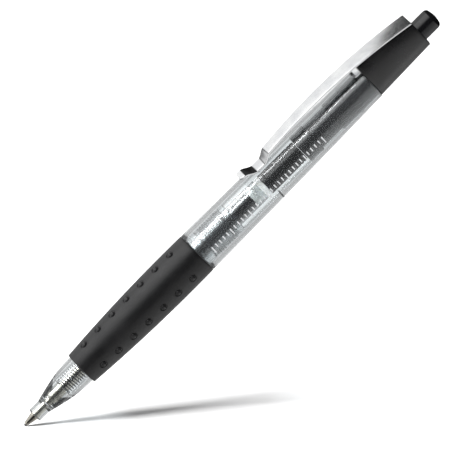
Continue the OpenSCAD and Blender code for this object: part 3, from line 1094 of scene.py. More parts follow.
    def build_end(self) -> None:
        """Make the black end piece, with two shallow grooves round it."""
        r, low, top = self.end.radius, self.end.low, self.end.high
        bore = self.ink.radius
        corners = [(bore, low + 0.02, 0.05), (r, low + 0.02, 0.1)]
        for z in (top - 2.2, top - 1.2):
            sides = ((r, -0.2), (r - self.groove, -0.1), (r - self.groove, 0.1), (r, 0.2))
            corners += [(side_r, z + along, 0.05) for side_r, along in sides]
        corners += [
            (r, top - 0.3, 0.2),
            (r - 0.3, top, 0.1),
            (self.end_hole_r, top, 0.1),
            (self.end_hole_r, self.plug.high + 1, 0.1),
            (bore, self.plug.high + 0.02, 0.05),
        ]
        end = revolve("refill_end_piece", rounded(corners))
        fit(end, GLOSS_BLACK, self.body, ["refill_end"])


@dataclass
class Spring:
    """The return spring round the tip holder."""

    span: Span = field(default_factory=lambda: Span.of("return_spring"))
    wire: float = 0.3
    turns: int = 22
    steps: int = 36

    def build(self) -> None:
        """Wind the spring between its seat and the refill's shoulder."""
        length = self.span.high - self.span.low - self.wire
        closed = self.wire * 1.08
        open_pitch = (length - 2 * closed) / (self.turns - 2)
        coil = new_object("return_coil", bpy.data.meshes.new("return_coil"))
        run_nodes(
            coil,
            coil_tree(),
            {
                "Material": SPRING_WIRE.build(),
                "Turns": float(self.turns),
                "Steps": float(self.steps),
                "Mean Radius": (self.span.radius - self.wire / 2) * MM,
                "Wire Radius": self.wire / 2 * MM,
                "Foot": (self.span.low + self.wire / 2) * MM,
                "Closed Pitch": closed * MM,
                "Open Pitch": open_pitch * MM,
            },
        )
        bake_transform(coil)
        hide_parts("return_spring")
        LOG.info("%s: %d faces", coil.name, len(coil.data.polygons))


@dataclass
class FrontSection:
    """The clear nose with its threaded tail, and the rubber grip on it."""

    span: Span = field(default_factory=lambda: Span.of("front_section"))
    grip: Span = field(default_factory=lambda: Span.of("grip"))
    tip: Span = field(default_factory=lambda: Span.of("tip_cone"))
    spring: Span = field(default_factory=lambda: Span.of("return_spring"))
    collar_r: float = 2.0
    collar_top: float = 6.8
    kink: tuple[float, float] = (3.42, 12.7)
    swell: tuple[float, float] = (3.95, 16.0)
    nose_rear_r: float = 4.1
    seat_front_r: float = 4.0
    seat_rear_r: float = 4.95
    pilot_r: float = 4.47
    pilot_top: float = 64.4
    root_r: float = 4.05
    tail_r: float = 4.3
    holder_bore: tuple[float, float] = (2.0, 8.3)
    chamber_r: float = 3.0
    chamber_top: float = 25.5
    bore_r: float = 3.3
    thread_low: float = 65.2
    thread_pitch: float = 0.8
    thread_turns: int = 9
    thread_depth: float = 0.4
    grip_r: float = 5.96
    grip_swell_z: float = 54.0
    grip_arc_r: float = 445.0
    nub_r: float = 0.7
    nub_h: float = 0.312
    nub_low: float = 25.2
    nub_pitch: float = 5.2
    nub_rows: int = 7
    nub_files: int = 4
    ring_width: float = 0.32
    body: str = "front"

    def build(self) -> None:
        """Make the nose and the grip."""
        self.build_nose()
        self.build_grip()

    def thread_share(self, radius: float, height: float) -> float:
        """Share of the thread's depth at a point, which runs out at both ends.

        Args:
            radius: The point's radius.
            height: Its height.

        Returns:
            The share, from 0 to 1.
        """
        top = self.thread_low + self.thread_pitch * self.thread_turns
        if radius < self.root_r - 0.1:
            return 0.0
        run = self.thread_pitch * 0.6
        return ease(height, self.thread_low - 0.1, self.thread_low + run) * (
            1 - ease(height, top - run, top + 0.1)
        )

    def build_nose(self) -> None:
        """Make the clear moulding and raise its thread."""
        nose_bore = self.tip.radius + 0.08
        thread_top = self.thread_low + self.thread_pitch * self.thread_turns
        front = [
            (nose_bore, self.span.low, 0.08),
            (self.collar_r - 0.3, self.span.low, 0.15),
            (self.collar_r, self.span.low + 0.35, 0.2),
            (self.collar_r, self.collar_top, 0.25),
            (*self.kink, 1.2),
            (*self.swell, 2.0),
            (self.nose_rear_r, self.grip.low - 0.02, 0.08),
            (self.seat_front_r, self.grip.low - 0.02, 0.02),
            (self.seat_rear_r - 0.02, self.grip.high, 0.08),
            (self.pilot_r, self.grip.high, 0.04),
            (self.pilot_r, self.pilot_top, 0.15),
            (self.root_r, self.pilot_top + 0.3, 0.1),
        ]
        rear = [
            (self.root_r, thread_top + 0.25, 0.0),
            (self.tail_r, thread_top + 0.5, 0.1),
            (self.tail_r, self.span.high, 0.3),
            (self.bore_r, self.span.high, 0.1),
            (self.bore_r, self.chamber_top + 0.5, 0.3),
            (self.chamber_r, self.chamber_top, 0.3),
            (self.chamber_r, self.spring.low, 0.1),
            (self.holder_bore[0], self.spring.low, 0.06),
            (self.holder_bore[0], self.holder_bore[1], 0.3),
            (nose_bore, self.holder_bore[1] - 0.6, 0.1),
        ]
        whole = rounded(front + rear)
        on_root = [abs(r - self.root_r) < 0.01 and z > thread_top + 0.24 for r, z in whole]
        split = on_root.index(True)
        steps = round((thread_top - self.thread_low + 0.4) / 0.05)
        threaded = [(self.root_r, z) for z in stations(self.thread_low - 0.2, thread_top + 0.2, steps)]
        outline = whole[:split] + threaded + whole[split:]
        nose = revolve("clear_front_section", outline, even_angles(128), relief=self.thread_share)
        run_nodes(
            nose,
            thread_tree(),
            {
                "Material": CLEAR_BODY.build(),
                "Pitch": self.thread_pitch * MM,
                "Depth": self.thread_depth * MM,
            },
        )
        fit(nose, CLEAR_BODY, self.body, ["front_section"])

    def grip_side(self, height: float) -> float:
        """Radius of the grip's side."""
        return self.grip_r - (height - self.grip_swell_z) ** 2 / (2 * self.grip_arc_r)

    def nub_angles(self) -> list[float]:
        """Mesh columns that lie close together at each file of nubs.

        Returns:
            The angles, in order.
        """
        file_turn = TURN / self.nub_files
        reach = (self.nub_r + self.ring_width + 0.1) / (self.grip_r - 1)
        fine = stations(-reach, reach, 26)
        coarse = stations(reach, file_turn - reach, 14)[1:-1]
        return [-math.pi / 2 + file_turn * f + a for f in range(self.nub_files) for a in fine + coarse]

    def nub_heights(self) -> list[float]:
        """Mesh rows that lie close together at each row of nubs.

        Returns:
            The heights, in order.
        """
        reach = self.nub_r + self.ring_width + 0.1
        heights = stations(self.grip.low + 0.3, self.nub_low - reach, 6)[:-1]
        for i in range(self.nub_rows):
            row = self.nub_low + i * self.nub_pitch
            heights += stations(row - reach, row + reach, 26)
            next_row = row + self.nub_pitch - reach if i < self.nub_rows - 1 else self.grip.high - 0.3
            heights += stations(row + reach, next_row, 5)[1 : -1 if i < self.nub_rows - 1 else None]
        return heights

    def build_grip(self) -> None:
        """Make the rubber sleeve and raise its nubs."""
        low, top = self.grip.low, self.grip.high
        edge = 0.28
        turns = stations(0, math.pi / 2, 5)
        side_low, side_top = self.grip_side(low), self.grip_side(top)
        outline = [(self.seat_front_r + 0.01, low)]
        outline += [(side_low - edge + edge * math.sin(a), low + edge - edge * math.cos(a)) for a in turns]
        outline += [(self.grip_side(z), z) for z in self.nub_heights()]
        outline += [(side_top - edge + edge * math.cos(a), top - edge + edge * math.sin(a)) for a in turns]
        outline += [(self.seat_rear_r + 0.01, top)]
        sleeve = revolve(
            "rubber_grip",
            outline,
            self.nub_angles(),
            relief=lambda r, z: float(low + 1 < z < top - 1),
        )
        run_nodes(
            sleeve,
            nub_tree(),
            {
                "Material": GRIP_RUBBER.build(),
                "First Row": self.nub_low * MM,
                "Row Pitch": self.nub_pitch * MM,
                "Last Row": float(self.nub_rows - 1),
                "Files": float(self.nub_files),
                "Nub Radius": self.nub_r * MM,
                "Nub Height": self.nub_h * MM,
                "Ring Width": self.ring_width * MM,
            },
        )
        fit(sleeve, GRIP_RUBBER, self.body, ["grip"])


@dataclass
class Barrel:
    """The clear rear barrel."""

    span: Span = field(default_factory=lambda: Span.of("barrel"))
    swell_r: float = 5.91
    swell_z: float = 41.3
    side_r: float = 3378.0
    bore_front_r: float = 4.55
    bore_rear_r: float = 4.35
    step_z: float = 87.2

    def side(self, height: float) -> float:
        """Radius of the barrel's side."""
        return self.swell_r - (height - self.swell_z) ** 2 / (2 * self.side_r)

    def build(self) -> None:
        """Make the barrel: a long gentle taper outside, and two bores inside."""
        low, top = self.span.low + 0.02, self.span.high - 0.02
        outer = [(self.side(z), z) for z in stations(low + 1, top - 1, 30)]
        front = rounded([(self.bore_front_r, low, 0.12), (self.side(low), low, 0.15), (*outer[0], 0)])[:-1]
        rear = rounded([(*outer[-1], 0), (self.side(top), top, 0.15), (self.bore_rear_r, top, 0.1)])[1:]
        inner = [(self.bore_rear_r, z) for z in stations(top - 0.4, self.step_z + 0.1, 16)]
        inner += [(self.bore_rear_r, self.step_z), (self.bore_front_r, self.step_z - 0.3)]
        inner += [(self.bore_front_r, z) for z in stations(self.step_z - 0.4, low + 0.4, 12)]
        shell = revolve("clear_barrel", front + outer + rear + inner, even_angles(128))
        fit(shell, CLEAR_BODY, "barrel_body", ["barrel"])
        InkGauge().build(self.side)


@dataclass
class InkGauge:
    """The printed scale along the barrel: a row of short bars that follow its side.

    Attributes:
        low: Height of the first bar, in mm.
        pitch: Spacing of the bars.
        count: Number of bars.
        every: One bar in this many is long.
        bar: Width of a bar along the pen.
        short: Length of a short bar round the barrel.
        long: Length of a long bar.
        turn_deg: Where the scale lies round the barrel, from +X.
        film: Thickness of the print.
    """

    low: float = 65.0
    pitch: float = 1.3
    count: int = 31
    every: int = 5
    bar: float = 0.32
    short: float = 1.1
    long: float = 2.0
    turn_deg: float = -24.0
    film: float = 0.015

    def build(self, side: Callable[[float], float]) -> None:
        """Print the scale.

        Args:
            side: Gives the barrel's radius from a height.
        """
        work = bmesh.new()
        for i in range(self.count):
            z = self.low + i * self.pitch
            length = self.short if i % self.every else self.long
            foot = math.radians(self.turn_deg)
            turns = stations(foot, foot + length / side(z), 6)
            rows = []
            edges = ((z, 0.001), (z, self.film), (z + self.bar, self.film), (z + self.bar, 0.001))
            for edge_z, lift in edges:
                ring = circle(side(edge_z) + lift, edge_z, turns)
                rows.append([work.verts.new(Vector(p) * MM) for p in ring])
            for one, two in zip(rows, rows[1:] + rows[:1]):
                for j in range(len(turns) - 1):
                    work.faces.new((one[j], one[j + 1], two[j + 1], two[j]))
            work.faces.new([row[0] for row in rows])
            work.faces.new([row[-1] for row in reversed(rows)])
        fit(mesh_from("printed_scale", work), PRINT_GREY, "barrel_body")


@dataclass
class ClipShape:
    """The bent line and the width of the metal clip, as heights above the pen's axis."""

    peak_h: float = 8.979
    peak_z: float = 109.0
    arc_r: float = 148.0
    thick: float = 0.55
    rear_w: float = 4.8
    tip_w: float = 3.15
    low_h: float = 6.31
    lip_h: float = 8.22
    lip_top: float = 83.6
    low_front: float = 87.0
    low_rear: float = 89.0
    bend_top: float = 92.2
    corner_r: float = 0.9
    tip_z: float = field(default_factory=lambda: Span.of("clip_arm").low)
    rear_z: float = field(default_factory=lambda: Span.of("clip_base").high)

    def arc(self, z: float) -> float:
        """Height of the long arc."""
        return self.peak_h - (z - self.peak_z) ** 2 / (2 * self.arc_r)

    def rise(self, z: float) -> float:
        """Height of the lip."""
        return self.lip_h - 0.12 * (z - self.tip_z) / (self.lip_top - self.tip_z)

    def outer(self, z: float) -> float:
        """Height of the clip's outer face.

        Args:
            z: Position along the pen.

        Returns:
            The height above the pen's axis.
        """
        if z >= self.bend_top:
            return self.arc(z)
        if z >= self.low_front:
            return self.low_h + (self.arc(self.bend_top) - self.low_h) * ease(z, self.low_rear, self.bend_top)
        if z >= self.lip_top:
            return self.low_h + (self.rise(self.lip_top) - self.low_h) * (
                1 - ease(z, self.lip_top, self.low_front)
            )
        return self.rise(z)

    def slope(self, z: float) -> float:
        """Angle of the outer face to the pen's axis, in radians."""
        return math.atan((self.outer(z + 0.01) - self.outer(z - 0.01)) / 0.02)

    def seat(self, z: float) -> float:
        """Height of the clip's inner face, straight out from the axis."""
        return self.outer(z) - self.thick / math.cos(self.slope(z))

    def width(self, z: float) -> float:
        """Half width of the clip in plan, without its rounded tip."""
        share = (z - self.tip_z) / (self.rear_z - self.tip_z)
        return (self.tip_w + (self.rear_w - self.tip_w) * share) / 2


@dataclass
class Clip:
    """The bright metal clip, one bent strip, and the tang that holds it in the cap."""

    shape: ClipShape
    joint_z: float = field(default_factory=lambda: Span.of("barrel").high)
    edge: float = 0.14
    tang_w: float = 3.4
    tang_t: float = 0.5
    tang_h: float = 5.03
    tang_edge: float = 0.12
    tang_lift: float = 0.28
    tang_taper: float = 0.35
    tang_z: float = field(default_factory=lambda: Span.of("clip_base").low)

    def section(self, z: float, half: float, thick: float) -> Ring:
        """Ring round the strip at one station, with rounded edges.

        Args:
            z: Position along the pen.
            half: Half width there.
            thick: Thickness there.

        Returns:
            The ring's points.
        """
        height, tilt = self.shape.outer(z), self.shape.slope(z)
        edge = min(self.edge, half * 0.9, thick * 0.45)
        flat = []
        corners = (
            (half - edge, -edge, 0.0),
            (-half + edge, -edge, 0.5),
            (-half + edge, -thick + edge, 1.0),
            (half - edge, -thick + edge, 1.5),
        )
        for x, y, turn in corners:
            for a in stations(turn * math.pi, (turn + 0.5) * math.pi, 4):
                flat.append((x + edge * math.cos(a), y + edge * math.sin(a)))
        return [(x, -(height + y * math.cos(tilt)), z - y * math.sin(tilt)) for x, y in flat]

    def build(self) -> None:
        """Make the bent strip, and make the tang."""
        shape = self.shape
        ends = [shape.tip_z + shape.corner_r * (1 - math.cos(a)) for a in stations(0.12, math.pi / 2, 8)]
        stops = ends + stations(shape.tip_z + shape.corner_r, shape.bend_top, 60)[1:]
        stops += stations(shape.bend_top, shape.rear_z - 0.15, 110)[1:]
        rings = []
        for z in stops:
            half = shape.width(z)
            into = shape.corner_r - (z - shape.tip_z)
            if into > 0:
                half -= shape.corner_r - math.sqrt(max(0.0, shape.corner_r**2 - into**2))
            rings.append(self.section(z, half, shape.thick))
        rear = self.section(shape.rear_z - 0.02, shape.width(shape.rear_z) - 0.08, shape.thick - 0.06)
        rings.append(rear)
        rings = [[self.middle(rings[0])] * len(rear)] + rings + [[self.middle(rear)] * len(rear)]
        strip = skin("metal_clip", rings, False, sharp_deg=15)
        strip.data.materials.append(CLIP_PLATE.build())
        y = -shape.outer(self.joint_z) * MM
        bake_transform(strip)
        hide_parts("clip_base", "clip_arm")
        LOG.info("%s: %d faces", strip.name, len(strip.data.polygons))
        self.build_tang()

    def middle(self, ring: Ring) -> Point:
        """Mean point of a ring."""
        return tuple(sum(p[i] for p in ring) / len(ring) for i in range(3))

    def build_tang(self) -> None:
        """Make the short tang that comes out of the cap over the barrel, with its turned-up end."""
        half, edge = self.tang_w / 2, self.tang_edge
        rings = []
        for z in stations(self.tang_z, self.joint_z + 1.2, 14):
            lift = self.tang_lift * (1 - ease(z, self.tang_z, self.tang_z + 1.1))
            narrow = self.tang_taper * (1 - ease(z, self.tang_z, self.tang_z + 0.6))
            ring = []
            for cx, cy, turn in (
                (half - edge - narrow, self.tang_t - edge, 0.0),
                (-half + edge + narrow, self.tang_t - edge, 0.5),
                (-half + edge + narrow, edge, 1.0),
                (half - edge - narrow, edge, 1.5),
            ):
                for a in stations(turn * math.pi, (turn + 0.5) * math.pi, 3):
                    height = self.tang_h + lift + cy + edge * math.sin(a)
                    ring.append((cx + edge * math.cos(a), -height, z))
            rings.append(ring)
        count = len(rings[0])
        rings = [[self.middle(rings[0])] * count] + rings + [[self.middle(rings[-1])] * count]
        fit(skin("clip_tang", rings, False, sharp_deg=15), CLIP_PLATE, "barrel_body")


@dataclass
class EndCap:
    """The black end cap, with the boss that rises to the clip."""

    shape: ClipShape
    span: Span = field(default_factory=lambda: Span.of("end_cap"))
    front_r: float = 4.77
    rear_r: float = 4.33
    edge: float = 0.22
    side_gap: float = 0.15
    boss_edge: float = 0.12
    flank_deg: float = 82.0
    hole_r: float = 2.94
    bore_r: float = 3.75
    sleeve_r: float = 4.2
    sleeve_top: float = 124.0
    wall: float = 1.5

    def outline(self, z: float, inset: float) -> list[tuple[float, float]]:
        """Cross-section of the cap, as x and height towards the clip.

        Args:
            z: Position along the pen.
            inset: How far the outline is drawn in, for a rounded rim.

        Returns:
            The outline's points, clockwise from the middle of the seat.
        """
        share = (z - self.span.low) / (self.span.high - self.span.low)
        r = self.front_r + (self.rear_r - self.front_r) * share - inset
        half = self.shape.width(z) - self.side_gap - inset
        seat = self.shape.seat(z) - inset
        edge, turn = self.boss_edge, math.radians(60)
        corner = (half - edge + edge * math.sin(turn), seat - edge + edge * math.cos(turn))
        touch = math.radians(self.flank_deg)
        reach = corner[0] * math.sin(touch) + corner[1] * math.cos(touch)
        away = (math.hypot(*corner) ** 2 - r**2) / (2 * (r - reach))
        middle = (-away * math.sin(touch), -away * math.cos(touch))
        start = math.atan2(corner[0] - middle[0], corner[1] - middle[1])
        right = [(x, seat) for x in stations(0, half - edge, 4)]
        right += [
            (half - edge + edge * math.sin(a), seat - edge + edge * math.cos(a))
            for a in stations(0, turn, 4)[1:]
        ]
        right += [
            (middle[0] + (r + away) * math.sin(a), middle[1] + (r + away) * math.cos(a))
            for a in stations(start, touch, 18)[1:]
        ]
        right += [(r * math.sin(a), r * math.cos(a)) for a in stations(touch, math.pi, 36)[1:]]
        left = [(-x, h) for x, h in reversed(right[1:-1])]
        return right + left

    def build(self) -> None:
        """Make the cap as one closed shell, from its front face round through its bore."""
        low, top = self.span.low + 0.01, self.span.high
        turns = stations(0, math.pi / 2, 4)
        levels = [
            (low + self.edge * (1 - math.sin(a)), self.edge * (1 - math.cos(a))) for a in reversed(turns)
        ]
        levels += [(z, 0.0) for z in stations(low + self.edge, top - self.edge, 24)[1:-1]]
        levels += [(top - self.edge * (1 - math.sin(a)), self.edge * (1 - math.cos(a))) for a in turns]
        rings = []
        for z, inset in levels:
            rings.append([(x, -h, z) for x, h in self.outline(z, inset)])
        whole = self.outline((low + top) / 2, 0.0)
        angles = [math.atan2(-h, x) for x, h in whole]
        bores = [
            (self.hole_r + 0.12, top),
            (self.hole_r, top - 0.12),
            (self.hole_r, top - self.wall),
            (self.bore_r, top - self.wall),
            (self.bore_r, self.sleeve_top),
            (self.sleeve_r, self.sleeve_top),
            (self.sleeve_r, low + 0.1),
            (self.sleeve_r + 0.1, low),
        ]
        rings += [circle(r, z, angles) for r, z in bores]
        shell = skin("end_cap_shell", rings, True, sharp_deg=24)
        fit(shell, SATIN_BLACK, "barrel_body", ["end_cap"])


@dataclass
class Mechanism:
    """The click mechanism: thrust cup, rotor, cam sleeve and push button."""

    cup: Span = field(default_factory=lambda: Span.of("thrust_cup"))
    rotor: Span = field(default_factory=lambda: Span.of("rotor"))
    sleeve: Span = field(default_factory=lambda: Span.of("cam_sleeve"))
    button: Span = field(default_factory=lambda: Span.of("push_button"))
    button_r: float = 2.86
    button_round: float = 1.2
    button_dome: float = 0.25
    crown_r: float = 3.68
    crown_len: float = 2.8
    socket_wall: float = 0.6
    socket_len: float = 24.0
    tooth_h: float = 0.7
    tooth_n: int = 8
    tooth_share: float = 0.55
    pin_r: float = 2.04
    pin_len: float = 2.4
    sleeve_r: float = 4.2
    sleeve_bore: float = 3.79
    sleeve_rear_r: float = 3.75
    guide_r: float = 3.1
    snap: tuple[float, float] = (115.0, 117.0)
    step_z: float = 124.0

    def build(self) -> None:
        """Make the four pieces."""
        self.build_cup()
        self.build_rotor()
        self.build_sleeve()
        self.build_button()

    def build_cup(self) -> None:
        """Make the thrust cup, with a raised band round each end and a socket for the rotor's pin."""
        low, top, r = self.cup.low, self.cup.high, self.cup.radius
        corners = [
            (0.0, low, 0.0),
            (r - 0.3, low, 0.1),
            (r, low + 0.3, 0.15),
            (r, low + 0.9, 0.05),
            (r - 0.12, low + 1.0, 0.05),
            (r - 0.12, top - 0.9, 0.05),
            (r, top - 0.8, 0.05),
            (r, top - 0.2, 0.1),
            (r - 0.2, top, 0.05),
            (self.pin_r + 0.07, top, 0.05),
            (self.pin_r + 0.07, top - self.pin_len - 0.1, 0.05),
            (0.0, top - self.pin_len - 0.1, 0.0),
        ]
        fit(revolve("refill_cup", rounded(corners)), SLICK_BLACK, "cup", ["thrust_cup"])

    def crown(self, edge_z: float, way: int) -> Callable[[float, float, float], tuple[float, float]]:
        """Make the warp that cuts cam teeth in one end face.

        Args:
            edge_z: Height of the face.
            way: 1 for a rear face, -1 for a front one.

        Returns:
            The warp.
        """

        def warp(radius: float, z: float, angle: float) -> tuple[float, float]:
            """Move a point of the face into the teeth.

            Args:
                radius: The point's radius.
                z: Its height.
                angle: Its angle.

            Returns:
                Its new radius and height.
            """
            if abs(z - edge_z) > 0.01:
                return radius, z
            phase = (angle * self.tooth_n / TURN) % 1
            depth = self.tooth_h * (1 - phase / self.tooth_share if phase < self.tooth_share else 0)
            return radius, z - way * depth

        return warp

    def build_rotor(self) -> None:
        """Make the rotor, with its pin, neck and cam teeth."""
        top, r = self.rotor.high, self.rotor.radius
        neck_low = self.rotor.low + self.pin_len + 0.05
        outline = rounded(
            [
                (0.0, self.rotor.low, 0.0),
                (self.pin_r, self.rotor.low, 0.1),
                (self.pin_r, neck_low, 0.03),
                (r, neck_low, 0.15),
                (r, top, 0.0),
                (self.button_r - self.socket_wall, top, 0.0),
                (self.button_r - self.socket_wall, top - 3, 0.1),
                (0.0, top - 3, 0.0),
            ]
        )
        turned = revolve("click_rotor", outline, even_angles(160), warp=self.crown(top, 1))
        fit(turned, SLICK_BLACK, "rotor_body", ["rotor"])

    def build_sleeve(self) -> None:
        """Make the fixed cam sleeve with its snap ring."""
        low, top = self.sleeve.low, self.sleeve.high
        corners = [
            (self.sleeve_bore, low, 0.08),
            (self.sleeve_r, low, 0.12),
            (self.sleeve_r, self.snap[0], 0.03),
            (self.sleeve_r + 0.13, self.snap[0] + 0.3, 0.1),
            (self.sleeve_r + 0.13, self.snap[1] - 0.3, 0.1),
            (self.sleeve_r, self.snap[1], 0.03),
            (self.sleeve_r - 0.01, self.step_z - 0.02, 0.05),
            (self.sleeve_rear_r - 0.01, self.step_z - 0.02, 0.02),
            (self.sleeve_rear_r - 0.01, top, 0.1),
            (self.guide_r, top, 0.1),
            (self.guide_r, self.step_z - 0.2, 0.05),
            (self.sleeve_bore, self.step_z - 0.2, 0.05),
        ]
        shell = revolve("cam_sleeve_shell", rounded(corners))
        fit(shell, SLICK_BLACK, "barrel_body", ["cam_sleeve"])

    def build_button(self) -> None:
        """Make the push button: crown, stem and a rounded, faintly domed end."""
        low, top = self.button.low, self.button.high
        rim = top - self.button_dome
        hole_r, hole_top = self.button_r - self.socket_wall, low + self.socket_len
        outline = [(0.0, hole_top), (hole_r, hole_top), (hole_r, low), (self.crown_r, low)]
        outline += rounded(
            [
                (self.crown_r, low + 1.0, 0.0),
                (self.crown_r, low + self.crown_len, 0.1),
                (self.button_r, low + self.crown_len, 0.1),
                (self.button_r, low + self.crown_len + 1, 0.0),
            ]
        )
        outline += [(self.button_r, z) for z in stations(low + 6, rim - self.button_round, 10)]
        for a in stations(0, math.pi / 2, 10)[1:]:
            outline.append(
                (
                    self.button_r - self.button_round * (1 - math.cos(a)),
                    rim - self.button_round * (1 - math.sin(a)),
                )
            )
        flat = self.button_r - self.button_round
        outline += [(flat * t, rim + self.button_dome * (1 - t * t)) for t in (0.8, 0.6, 0.4, 0.2)]
        outline.append((0.0, top))
        stem = revolve("button_stem", outline, even_angles(160), warp=self.crown(low, -1))
        fit(stem, GLOSS_BLACK, "button", ["push_button"])


# ---------------------------------------------------------------------------
# Studio
# ---------------------------------------------------------------------------


@dataclass
class Studio:
    """Camera, floor, sky and lamps.

    Attributes:
        turn_deg: The camera's azimuth round the pen, from the clip's side.
        roll_deg: How far the pen leans in the picture.
        view_width: Width that the camera takes in at the pen, in mm.
        aim_z: Point of the pen's axis at the picture's middle, in mm.
        lens: Focal length, long enough to flatten the perspective.
        sensor: Width of the camera's sensor, in mm.
        floor_tilt_deg: How far the floor tips towards the camera.
        round_bands: Brightness of the surround by the angle round the pen, from the camera to its left.
        long_bands: Brightness of the surround by the direction's share along the pen.
    """

    turn_deg: float = 50.0
    roll_deg: float = 45.0
    view_width: float = 113.4
    aim_z: float = 71.5
    lens: float = 400.0
    sensor: float = 36.0
    floor_tilt_deg: float = 14.0
    round_bands: Bands = (
        (-180, 1.0), (-168, 1.0), (-163, 0.34), (-150, 0.5), (-128, 0.45), (-112, 0.8),
        (-90, 1.0), (-66, 0.75), (-38, 0.5), (-22, 0.04), (0, 0.03), (16, 0.04),
        (38, 2.0), (54, 2.2), (84, 2.2), (92, 1.05), (120, 1.05), (128, 0.4),
        (150, 0.5), (163, 0.34), (168, 1.0), (180, 1.0),
    )
    long_bands: Bands = (
        (-1.0, 0.6), (-0.6, 0.7), (-0.54, 0.7), (-0.47, 0.2), (-0.34, 0.2),
        (-0.29, 0.9), (-0.1, 1.0), (0.1, 1.0), (0.231, 0.95), (0.2365, 0.72),
        (0.244, 0.3), (0.251, 0.04), (1.0, 0.03),
    )

    def axes(self) -> tuple[Vector, Vector, Vector]:
        """Find the picture's directions.

        Returns:
            The directions of its right, its top, and from the pen to the camera.
        """
        turn, roll = math.radians(self.turn_deg), math.radians(self.roll_deg)
        back = Vector((math.sin(turn), -math.cos(turn), 0))
        side = Vector((math.cos(turn), math.sin(turn), 0))
        pen = Vector((0, 0, 1))
        right = pen * math.sin(roll) + side * math.cos(roll)
        top = pen * math.cos(roll) - side * math.sin(roll)
        return right, top, back

    def build(self) -> None:
        """Make the whole studio."""
        self.build_camera()
        self.build_floor()
        self.build_sky()
        self.build_lamps()

    def build_camera(self) -> None:
        """Make the camera square to the pen, rolled so that the pen leans."""
        right, top, back = self.axes()
        data = bpy.data.cameras.new("camera")
        data.lens, data.sensor_width = self.lens, self.sensor
        data.clip_start, data.clip_end = 0.01, 20.0
        away = self.view_width * self.lens / self.sensor
        camera = new_object("camera", data)
        turn = Matrix((right, top, back)).transposed().to_4x4()
        place = (Vector((0, 0, self.aim_z)) + back * away) * MM
        camera.matrix_world = Matrix.Translation(place) @ turn
        bpy.context.scene.camera = camera

    def build_floor(self) -> None:
        """Make the pale floor that the tip touches, seen from above only."""
        right, top, back = self.axes()
        tilt = math.radians(self.floor_tilt_deg)
        up = top * math.cos(tilt) + back * math.sin(tilt)
        front = up.cross(right).normalized() * -1
        half = 1.6
        work = bmesh.new()
        steps = stations(-half, half, 16)
        grid = [[work.verts.new(right * x + front * y - up * 0.0002) for x in steps] for y in steps]
        for i in range(16):
            for j in range(16):
                work.faces.new((grid[i][j], grid[i][j + 1], grid[i + 1][j + 1], grid[i + 1][j]))
        mesh = bpy.data.meshes.new("floor")
        work.normal_update()
        if work.faces[:][0].normal.dot(up) < 0:
            bmesh.ops.reverse_faces(work, faces=work.faces[:])
        work.to_mesh(mesh)
        work.free()
        floor = new_object("floor", mesh)
        floor.data.materials.append(self.floor_material())
        floor.visible_glossy = floor.visible_transmission = False

    def floor_material(self) -> bpy.types.Material:
        """Make the floor's matte card, clear from below."""
        material = bpy.data.materials.new("matte_white_card")
        material.use_nodes = True
        tree = material.node_tree
        tree.nodes.clear()
        place = add(tree, "ShaderNodeTexCoord").outputs["Object"]
        fibre = add(tree, "ShaderNodeTexNoise", {"Vector": place, "Scale": 400.0, "Detail": 3.0})
        tone = add(tree, "ShaderNodeMix", {0: fibre.outputs[0]}, data_type="RGBA")
        tone.inputs[6].default_value = linear("fbfbfb")
        tone.inputs[7].default_value = linear("f7f7f7")
        card = add(tree, "ShaderNodeBsdfDiffuse", {"Color": tone.outputs[2]})
        clear = add(tree, "ShaderNodeBsdfTransparent")
        side = add(tree, "ShaderNodeNewGeometry").outputs["Backfacing"]
        mix = add(tree, "ShaderNodeMixShader", {0: side, 1: card.outputs[0], 2: clear.outputs[0]})
        add(tree, "ShaderNodeOutputMaterial", {"Surface": mix.outputs[0]})
        return material

    def ramp(self, tree: Tree, source: Socket, stops: Bands) -> Socket:
        """Read a brightness off a row of stops.

        Args:
            tree: The node tree.
            source: The value to look up.
            stops: Position and brightness of each stop, in order.

        Returns:
            The brightness.
        """
        low, high = stops[0][0], stops[-1][0]
        share = add(tree, "ShaderNodeMapRange", {"Value": source, "From Min": low, "From Max": high})
        node = add(tree, "ShaderNodeFloatCurve", {"Value": share.outputs[0]})
        curve = node.mapping.curves[0]
        node.mapping.use_clip = False
        for position, value in stops[1:-1]:
            curve.points.new((position - low) / (high - low), value)
        curve.points[0].location = (0.0, stops[0][1])
        curve.points[-1].location = (1.0, stops[-1][1])
        for point in curve.points:
            point.handle_type = "VECTOR"
        node.mapping.update()
        return node.outputs[0]

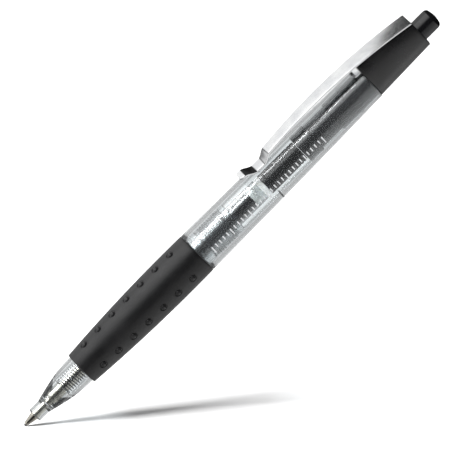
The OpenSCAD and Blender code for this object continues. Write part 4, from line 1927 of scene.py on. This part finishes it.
    def build_sky(self) -> None:
        """Make the surround: white behind the pen, with bright and dark bands round its sides."""
        world = bpy.data.worlds.new("white_surround")
        bpy.context.scene.world = world
        world.use_nodes = True
        tree = world.node_tree
        tree.nodes.clear()
        back = self.axes()[2]
        left = back.cross(Vector((0, 0, 1)))
        way = add(tree, "ShaderNodeTexCoord").outputs["Generated"]
        known = {}
        for name, axis in (("back", back), ("left", left), ("along", Vector((0, 0, 1)))):
            node = add(tree, "ShaderNodeVectorMath", {0: way, 1: axis}, operation="DOT_PRODUCT")
            known[name] = node.outputs["Value"]
        formula(tree, known, [("turn", "ARCTAN2", "left", "back"), ("degrees", "DEGREES", "turn")])
        known["round"] = self.ramp(tree, known["degrees"], self.round_bands)
        known["length"] = self.ramp(tree, known["along"], self.long_bands)
        known["seen"] = add(tree, "ShaderNodeLightPath").outputs["Is Camera Ray"]
        formula(
            tree,
            known,
            [
                ("banded", "MULTIPLY", "round", "length"),
                ("behind", "MULTIPLY_ADD", "back", -40.0, -38.4),
                ("behind_low", "MAXIMUM", "behind", 0.0),
                ("behind_all", "MINIMUM", "behind_low", 1.0),
                ("open", "MAXIMUM", "behind_all", "seen"),
                ("level", "MAXIMUM", "banded", "open"),
            ],
        )
        sky = add(tree, "ShaderNodeBackground", {"Color": (1, 1, 1, 1), "Strength": known["level"]})
        add(tree, "ShaderNodeOutputWorld", {"Surface": sky.outputs[0]})

    def lamp(self, name: str, way: Vector, away: float, size: tuple[float, float], power: float) -> None:
        """Hang one soft box that faces the pen's middle.

        Args:
            name: Name of the lamp.
            way: Direction from the pen.
            away: Distance in metres.
            size: Width and height in metres.
            power: Power in watts.
        """
        data = bpy.data.lights.new(name, "AREA")
        data.shape, data.size, data.size_y, data.energy = "RECTANGLE", *size, power
        item = new_object(name, data)
        middle = Vector((0, 0, self.aim_z * MM))
        item.location = middle + way.normalized() * away
        item.rotation_euler = way.to_track_quat("Z", "Y").to_euler()
        item.visible_glossy = False

    def build_lamps(self) -> None:
        """Hang the key soft box up and to the left. The surround's bands make the highlights."""
        right, top, back = self.axes()
        self.lamp("key_box", top * 1.0 - right * 0.75 + back * 0.8, 2.4, (0.95, 0.95), 120.0)


# ---------------------------------------------------------------------------
# The whole scene
# ---------------------------------------------------------------------------


def main() -> None:
    """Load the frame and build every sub-assembly in order."""
    logging.basicConfig(level=logging.INFO, format="%(message)s")
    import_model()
    bpy.context.scene.view_settings.view_transform = "Standard"
    Refill().build()
    Spring().build()
    FrontSection().build()
    Barrel().build()
    Mechanism().build()
    shape = ClipShape()
    EndCap(shape).build()
    Clip(shape).build()
    Studio().build()


if __name__ == "__main__":
    main()
